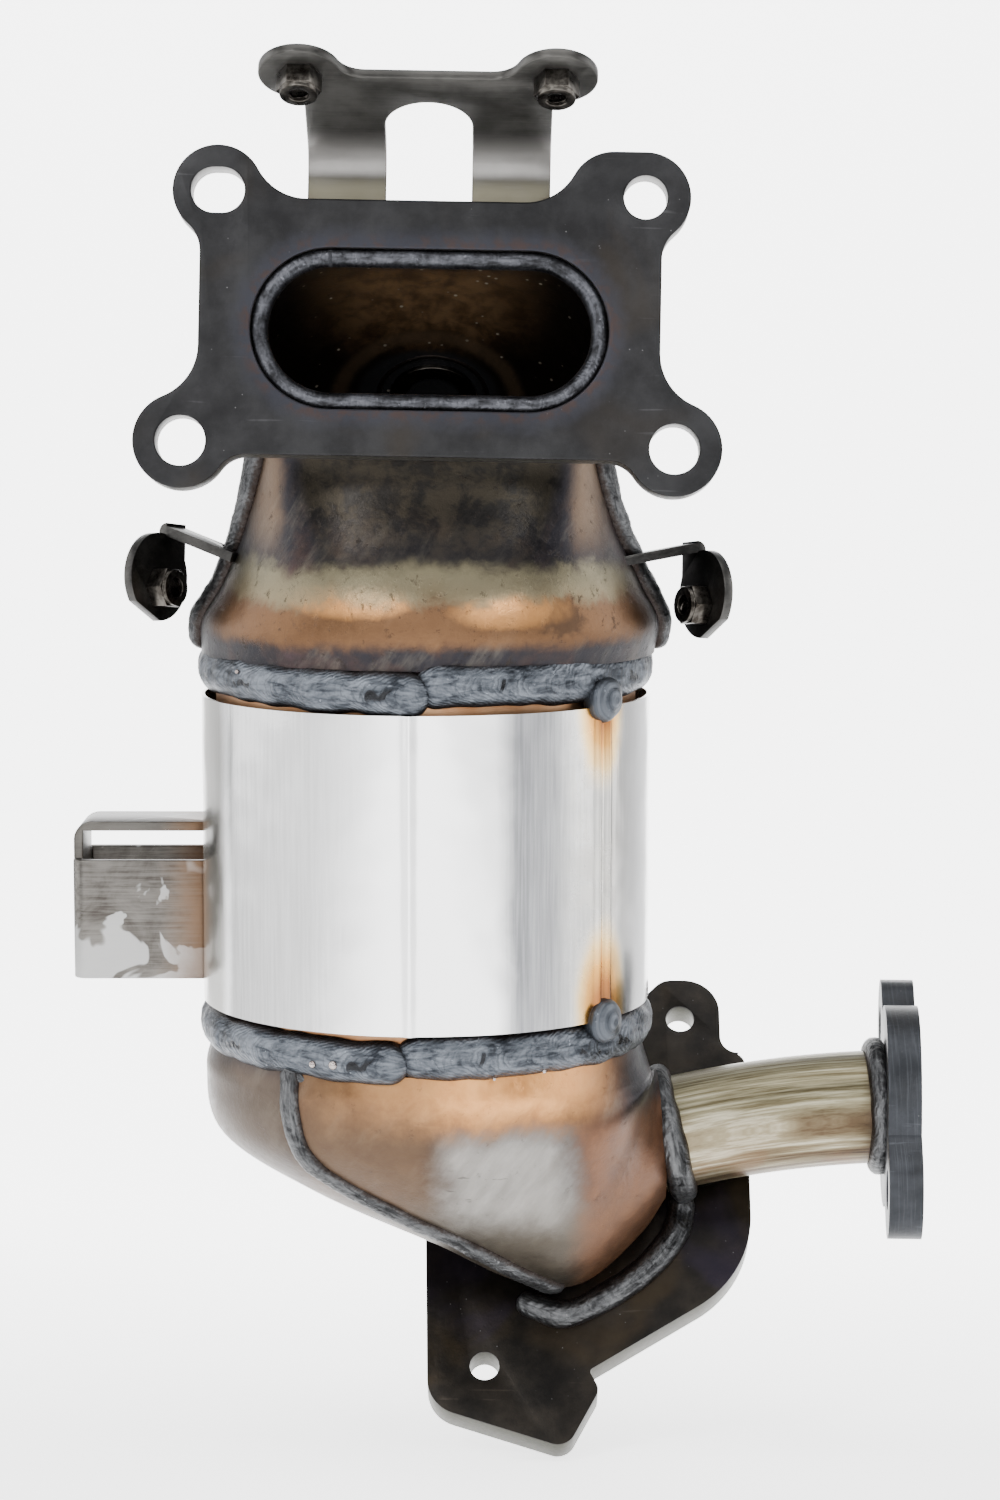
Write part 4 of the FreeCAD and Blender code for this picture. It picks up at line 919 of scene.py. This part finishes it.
def lay_bead(bm, path, half, height, closed=False, ripple=0.16, sweep=1.5, lift=None):
    """A bead of that half width and height along a path of (point, way out)."""
    count = len(path)
    length, walked = 0.0, []
    for i in range(count):
        walked.append(length)
        length += (path[(i + 1) % count][0] - path[i][0]).length if closed or i < count - 1 else 0
    steps_across = [2 * j / BEAD_ACROSS - 1 for j in range(BEAD_ACROSS + 1)]
    rows = []
    for i, (p, out) in enumerate(path):
        before = path[(i - 1) % count if closed else max(0, i - 1)][0]
        after = path[(i + 1) % count if closed else min(count - 1, i + 1)][0]
        side = (after - before).cross(out).normalized()
        s = walked[i]
        end = 1.0
        if not closed:
            gap = min(s, length - s)
            if gap < half:
                end = math.sqrt(max(0.004, 1 - (1 - gap / half) ** 2))
        wide = half * (1 + 0.13 * wobble(p, 7, 4.0)) * end
        sway = 0.45 * wobble(p, 11, 9.0)
        tall = height * (1 + 0.16 * wobble(p, 6, 2.0)) * end + (lift(s / length) if lift else 0.0)
        row = []
        for a in steps_across:
            crown = max(0.0, 1 - abs(a) ** 2.6) ** 0.62
            phase = s / RIPPLE_PITCH - sweep * a * a + 0.5 * wobble(p, 5, 6.0)
            scallop = ripple * (abs(math.sin(math.pi * phase)) - 0.6) * crown * end
            spot = p + side * (wide * a + sway)
            rise = tall * crown + scallop + 0.14 * wobble(spot, 1.7, 1.0) * crown - BEAD_SINK
            row.append(spot + out * rise)
        for a in (0.8, -0.8):
            row.append(p + side * (wide * a + sway) - out * (BEAD_SINK + 0.5))
        rows.append(row)
    spread_out = steps_across + [1.0, -1.0]
    values = {"across": lambda i, j: spread_out[j], "along": lambda i, j: walked[i]}
    made, _ = grid(bm, rows, wrap_along=closed, values=values)
    if not closed:
        bm.faces.new(made[0])
        bm.faces.new(made[-1])


def start_and_end(share):
    """The ring welds start low and end in a raised lap."""
    return 1.1 * smooth(0.955, 0.985, share) - 0.8 * smooth(0.03, 0.0, share)


BEADS = (
    ("upper_ring_weld", 5.9, 4.1, False, 0.10, start_and_end, 5.0, weld_paint),
    ("lower_ring_weld", 5.9, 4.1, False, 0.10, start_and_end, 5.0, weld_paint),
    ("hood_seam_weld_left", 4.3, 4.0, False, 0.16, None, 2.5, seam_paint),
    ("hood_seam_weld_right", 4.3, 4.0, False, 0.16, None, 2.5, seam_paint),
    ("cone_seam_weld", 3.3, 2.9, False, 0.18, None, 2.0, seam_paint),
    ("pipe_collar_weld", 3.8, 3.8, True, 0.12, None, 2.5, seam_paint),
    ("pipe_flange_weld", 3.2, 3.3, True, 0.08, None, 2.0, seam_paint),
    ("stay_plate_weld", 3.9, 4.2, False, 0.22, None, 2.5, seam_paint),
)
for node, half, height, closed, ripple, lift, sweep, paint in BEADS:
    bm = bmesh.new()
    lay_bead(bm, paths[node], half, height, closed, ripple, sweep, lift)
    made = keep(bm, node + "_look", paint, [node], 80)
    print(made.name, len(made.data.polygons), "faces")

# %% [markdown]
# The lip inside the port is a bead too, lying in the flange's mouth.

# %% Port lip
PORT_HALF_W, PORT_HALF_H, LIP_STEPS = 45.0, 20.25, 220
PORT_RUN = PORT_HALF_W - PORT_HALF_H
HALF_WAY = 2 * PORT_RUN + math.pi * PORT_HALF_H
# How far each line of the lip lies inward from the port's edge, and how deep in the mouth.
LIP = (
    (-0.5, 0.75), (0.0, 2.2), (0.8, 0.65), (1.9, 0.35), (3.0, 0.75), (3.9, 1.7), (4.35, 3.0),
    (4.35, 4.8), (0.0, 4.8),
)


def port_point(walked, half_h):
    """A point that far along the port's edge, on the racetrack half_h high."""
    side = 1 if walked < HALF_WAY else -1
    walked = walked % HALF_WAY
    if walked < 2 * PORT_RUN:
        return Vector((walked - PORT_RUN, 0, half_h)) * side
    a = (walked - 2 * PORT_RUN) / PORT_HALF_H
    return Vector((PORT_RUN + half_h * math.sin(a), 0, half_h * math.cos(a))) * side


rows = []
for k in range(LIP_STEPS):
    row = []
    for inward, depth in LIP:
        spot = port_point(2 * HALF_WAY * k / LIP_STEPS, PORT_HALF_H - inward)
        free = 0.3 < depth < 4
        depth += (0.35 * wobble(spot, 6, 2) + 0.15 * wobble(spot, 2.0, 5)) * free
        row.append(Vector((spot.x, depth, spot.z)))
    rows.append(row)
lip_across = [0.8 * (2 * j / (len(LIP) - 1) - 1) for j in range(len(LIP))]
bm = bmesh.new()
values = {"across": lambda i, j: lip_across[j], "along": lambda i, j: i * 1.03}
grid(bm, rows, wrap_along=True, values=values)
keep(bm, "inlet_port_weld_look", lip_paint, ["inlet_port_weld"], 80)
print("port lip done")

# %% [markdown]
# ## Heat shield
# A thin open wrap round the can with two pressed ribs up its right flank, one up the
# middle, and the window that the side bracket comes through.

# %% Heat shield
# Each rib: degrees round the can, height and half width. The window: its y and z ranges.
RIBS = ((-3.0, 1.1, 1.3), (48.8, 1.1, 1.0), (52.6, 1.1, 1.0))
WINDOW = (-2.5, 32.5, -39.7, 7.5)
SHIELD_HALF_H, SHIELD_T = 41.0, 0.8


def shield_radius(turn, z):
    rise = 0.0
    for at, high, wide in RIBS:
        rise += high * math.exp(-((turn - at) * math.radians(1) * SHIELD_R / wide) ** 2)
    spot = Vector((turn, z, 0.0))
    sag = 0.20 * noise.noise(spot / 21) + 0.10 * noise.noise(spot / 8)
    return SHIELD_R - 0.15 + rise + sag


def shield_rows(inward):
    rows = []
    steps = 1080
    for k in range(-25, 26):
        z = SHIELD_HALF_H * k / 25
        row = []
        for j in range(steps):
            turn = 360.0 * j / steps - 180
            a = math.radians(turn)
            r = shield_radius(turn, z) - inward
            row.append(Vector((r * math.sin(a), -r * math.cos(a), z)))
        rows.append(row)
    return rows


def in_window(p):
    return p.x < -45 and WINDOW[0] < p.y < WINDOW[1] and WINDOW[2] < p.z < WINDOW[3]


bm = bmesh.new()
made, faces = grid(bm, shield_rows(0.0))
inner, backs = grid(bm, shield_rows(SHIELD_T))
partner = {a: b for row, back in zip(made, inner) for a, b in zip(row, back)}
for face in [f for f in faces + backs if in_window(f.calc_center_median())]:
    bm.faces.remove(face)
for edge in [e for e in bm.edges if not e.link_faces]:
    bm.edges.remove(edge)
outer_side = set(partner)
for edge in [e for e in bm.edges if len(e.link_faces) == 1]:
    a, b = edge.verts
    if a in outer_side and b in outer_side:
        bm.faces.new((a, b, partner[b], partner[a]))
for vert in [v for v in bm.verts if not v.link_faces]:
    bm.verts.remove(vert)
bmesh.ops.transform(bm, matrix=CAN, verts=bm.verts)
made = keep(bm, "heat_shield_look", shield_paint, ["heat_shield"], 40)
print(made.name, len(made.data.polygons), "faces")

# %% [markdown]
# ## Outlet pipe
# The pipe is swept along the CAD's gentle bend; 'around' drives the drawn lines on it.

# %% Outlet pipe
PIPE_STEPS, PIPE_REACH = 40, 129.5
stops = [PIPE_START.x + (PIPE_REACH - PIPE_START.x) * k / PIPE_STEPS for k in range(PIPE_STEPS + 1)]
loops = [pipe_ring(x, PIPE_R) for x in stops] + [pipe_ring(x, PIPE_R - PIPE_WALL) for x in reversed(stops)]
loops = [[point for point, _ in loop] for loop in loops]
count = len(loops[0])
bm = bmesh.new()
grid(bm, loops, wrap_along=True, values={"around": lambda i, j: math.sin(2 * math.pi * j / count)})
keep(bm, "outlet_pipe_look", pipe_paint, ["outlet_pipe"])
print("pipe loops:", len(loops))

# %% [markdown]
# ## Plates, nuts and small fittings
# The solid plates and the nuts keep their CAD shape with broken edges; threads and spatter are new.

# %% Plates and brackets
NUTS = ("top_nut_left", "top_nut_right", "side_nut_left", "side_nut_right")
EDGES = (
    (("inlet_flange",), flange_paint, 0.5, 3),
    (("outlet_flange",), outlet_paint, 0.7, 3),
    (("stay_plate",), stay_paint, 0.7, 3),
    (("shield_bracket_top",), strip_paint, 0.35, 2),
    (("side_bracket_left", "side_bracket_right"), side_paint, 0.35, 2),
    (("harness_bracket",), box_paint, 0.35, 2),
    (NUTS, nut_paint, 0.45, 3),
    (("sensor_boss",), nut_paint, 0.4, 2),
)
for nodes, paint, width, segments in EDGES:
    for node in nodes:
        finished(node, paint, width, segments)
for node, paint in (("can_shell", can_paint), ("support_mat", mat_paint), ("ceramic_monolith", brick_paint)):
    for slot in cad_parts[node].material_slots:
        slot.material = paint.material
print("plates, nuts and brackets finished")

# %% [markdown]
# Threads are helical ridges on a thin sleeve that lines the bore.

# %% Threads
def threaded_sleeve(name, origin, axis, radius, depth, pitch, length):
    """A lining of the bore from the origin back along the axis."""
    side = axis.cross(Vector((1, 0, 0)) if abs(axis.x) < 0.8 else Vector((0, 0, 1))).normalized()
    other = axis.cross(side)
    turns, steps = 48, int(length / pitch * 8)

    def ring(back, radii):
        row = []
        for j, r in enumerate(radii):
            a = 2 * math.pi * j / turns
            row.append(origin - axis * back + (side * math.cos(a) + other * math.sin(a)) * r)
        return row

    rows = []
    for k in range(steps + 1):
        back = length * k / steps
        teeth = [1 - abs(2 * ((back / pitch + j / turns) % 1.0) - 1) for j in range(turns)]
        rows.append(ring(back, [radius - depth * min(1.0, tooth * 1.3) - 0.02 for tooth in teeth]))
    rows += [ring(back, [radius + 0.05] * turns) for back in (length, 0.0)]
    bm = bmesh.new()
    grid(bm, rows, wrap_along=True)
    return keep(bm, name, nut_paint, angle=60)


BOSS_MOUTH = Vector((-0.69, 92.99, 1.94))
BOSS_WAY = Vector((-0.0129, 0.6726, 0.7399)).normalized()
threaded_sleeve("sensor_thread", BOSS_MOUTH - BOSS_WAY * 0.6, BOSS_WAY, 8.25, 0.85, 1.5, 12.8)
TOP_WAY = Vector((0, -0.3746, -0.9272))
NUT_WAYS = {
    "top_left": (Vector((-32.5, -23.55, 53.61)), TOP_WAY),
    "top_right": (Vector((30.5, -23.55, 53.61)), TOP_WAY),
    "side_left": (Vector((-66.2, 43.0, -65.2)), Vector((0.78, -0.52, 0)).normalized()),
    "side_right": (Vector((67.0, 43.0, -67.0)), Vector((-0.84, -0.44, 0)).normalized()),
}
for key, (mouth, way) in NUT_WAYS.items():
    threaded_sleeve("thread_" + key, mouth - way * 0.4, way, 2.6, 0.35, 1.0, 5.2)
print("threads:", 1 + len(NUT_WAYS))

# %% [markdown]
# The two plug welds on the shield are low domes; the boss has a fillet weld all round,
# and a few balls of spatter sit on the ring weld.

# %% Plug welds, boss weld and spatter
def dome(bm, centre, out, across, high, wide, seed, rings=16, turns=56):
    """A lumpy cap that reaches a little under its own rim."""
    side = out.cross(across).normalized()
    along, over = bm.verts.layers.float.new("along"), bm.verts.layers.float.new("across")
    rows = []
    for i in range(rings):
        a = math.radians(118) * i / (rings - 1)
        row = []
        for j in range(turns):
            b = 2 * math.pi * j / turns
            way = across * math.cos(b) + side * math.sin(b)
            spot = centre + way * wide * math.sin(a) + out * high * math.cos(a)
            swirl = math.sin(9 * math.sin(a) + 0.6 * math.sin(b * 2))
            lump = 1 + 0.06 * wobble(spot, 3.2, seed) + 0.03 * swirl
            row.append(centre + (spot - centre) * lump)
        rows.append(row)
    made = []
    for i, row in enumerate(rows):
        line = [bm.verts.new(p) for p in row] if i else [bm.verts.new(centre + out * high)] * turns
        for vert in set(line):
            vert[along], vert[over] = i * 0.9, 0.85 * i / rings
        made.append(line)
    for i in range(rings - 1):
        for j in range(turns):
            k = (j + 1) % turns
            loop = (made[i][j], made[i][k], made[i + 1][k], made[i + 1][j])
            bm.faces.new(loop if i else (loop[0], loop[2], loop[3]))
    bm.faces.new(made[-1])


PLUG_R = 59.6
for node, z, seed in (("shield_tack_weld_upper", 43.0, 1.0), ("shield_tack_weld_lower", -41.0, 8.0)):
    a = math.radians(-39)
    bm = bmesh.new()
    centre = can(PLUG_R * math.cos(a), PLUG_R * math.sin(a), z)
    dome(bm, centre, can_way(math.cos(a), math.sin(a), 0), can_way(0, 0, 1), 4.6, 5.9, seed)
    keep(bm, node + "_look", weld_paint, [node], 60)

BOSS_WELD_R = 13.2
side = BOSS_WAY.cross(Vector((1, 0, 0))).normalized()
ring = []
for k in range(120):
    a = 2 * math.pi * k / 120
    way = Vector((1, 0, 0)) * math.cos(a) + side * math.sin(a)
    beside = BOSS_MOUTH + way * BOSS_WELD_R
    hit, _, _, _ = hood_tree.ray_cast(beside + BOSS_WAY * 6, -BOSS_WAY)
    ring.append((hit or beside - BOSS_WAY * 10, (way * 0.5 + BOSS_WAY).normalized()))
bm = bmesh.new()
lay_bead(bm, ring, 3.0, 3.0, True, 0.15)
keep(bm, "sensor_boss_weld_look", seam_paint, ["sensor_boss_weld"], 80)

bm = bmesh.new()
DROPS = ((-27.6, -49.3, 1.0), (-22.0, -49.0, 1.25), (-52, 50.0, 0.6), (31, -51.5, 0.6), (18, -52.5, 0.5))
for turn, z, size in DROPS:
    a = math.radians(turn - 90)
    r = 60.6 if abs(z) < 52 else PLUG_R
    spot = can(r * math.cos(a), r * math.sin(a), z)
    bmesh.ops.create_icosphere(bm, subdivisions=3, radius=size, matrix=Matrix.Translation(spot))
keep(bm, "spatter", spatter_paint)
print("welds and spatter done")

# %% [markdown]
# ## Light and camera
# A pale floor and soft panels, with a darker gap to the right that the bright wrap picks up.

# %% Light and camera
world = bpy.data.worlds.new("studio")
bpy.context.scene.world = world
world.use_nodes = True
world.node_tree.nodes["Background"].inputs["Color"].default_value = (0.95, 0.965, 1.0, 1)
world.node_tree.nodes["Background"].inputs["Strength"].default_value = 0.35


def panel(name, place, target, width, height, power, colour=(1, 1, 1)):
    light = bpy.data.lights.new(name, "AREA")
    light.shape, light.size, light.size_y = "RECTANGLE", width, height
    light.energy, light.color = power, colour
    lamp = placed(name, light)
    lamp.location = Vector(place)
    lamp.rotation_euler = (Vector(target) - Vector(place)).to_track_quat("-Z", "Y").to_euler()


MIDDLE = (0.02, 0.05, -0.13)
panel("front softbox", (-0.15, -1.6, 0.12), MIDDLE, 1.9, 1.5, 25)
panel("left softbox", (-1.5, 0.0, 0.3), MIDDLE, 1.7, 1.6, 32)
panel("right softbox", (1.5, 0.1, 0.2), MIDDLE, 1.3, 1.6, 27)
panel("top softbox", (0.0, -0.3, 1.3), MIDDLE, 1.6, 1.2, 24)
panel("left key", (-0.62, -1.1, 0.62), MIDDLE, 0.30, 0.30, 9)
panel("right key", (0.70, -1.1, 0.50), MIDDLE, 0.26, 0.26, 6)

# The floor turns up behind the part. It glows in a wedge that widens towards the back.
floor_paint = Paint("floor", 0.0, 0.9)
floor_paint.bsdf.inputs["Base Color"].default_value = (0.93, 0.93, 0.93, 1)
fx, fy, fz = floor_paint.axes(floor_paint.own_mm())
lit = floor_paint.step(abs(fx) - (fy + 900.0) * 0.19, 330, 60) * floor_paint.step(fz, 1150, 760)
lit = lit * (1.0 - floor_paint.step(fy, 700, -100) * 0.6)
floor_paint.put("Emission Color", floor_paint.mix(lit, (0.06, 0.06, 0.06), (1.0, 1.0, 1.0)))
floor_paint.bsdf.inputs["Emission Strength"].default_value = 4.0
bm = bmesh.new()
lowest = first_bounds[0][2]
FLOOR_FRONT, SWEEP_START, SWEEP_R, WALL_TOP = -2.5, 1.3, 0.9, 4.0
profile = [(FLOOR_FRONT, lowest)]
for k in range(17):
    a = math.pi / 2 * k / 16
    profile.append((SWEEP_START + SWEEP_R * math.sin(a), lowest + SWEEP_R * (1 - math.cos(a))))
profile.append((SWEEP_START + SWEEP_R, WALL_TOP))
rows = [[Vector((x, y, z)) for x in (-4.0, 4.0)] for y, z in profile]
grid(bm, rows, wrap_across=False)
mesh = bpy.data.meshes.new("floor")
bm.to_mesh(mesh)
bm.free()
mesh.materials.append(floor_paint.material)
for face in mesh.polygons:
    face.use_smooth = True
floor = placed("floor", mesh)

lens = bpy.data.cameras.new("camera")
lens.lens, lens.sensor_width, lens.sensor_fit = 86.4, 36.0, "AUTO"
lens.clip_start, lens.clip_end = 0.01, 20
view = placed("camera", lens)
turn = Matrix.Rotation(math.radians(-1.04), 4, "Y") @ Matrix.Rotation(math.radians(91), 4, "X")
view.matrix_world = Matrix.Translation((0.0199, -0.900, -0.1207)) @ turn
bpy.context.scene.camera = view
print("camera at", tuple(round(v, 4) for v in view.location))
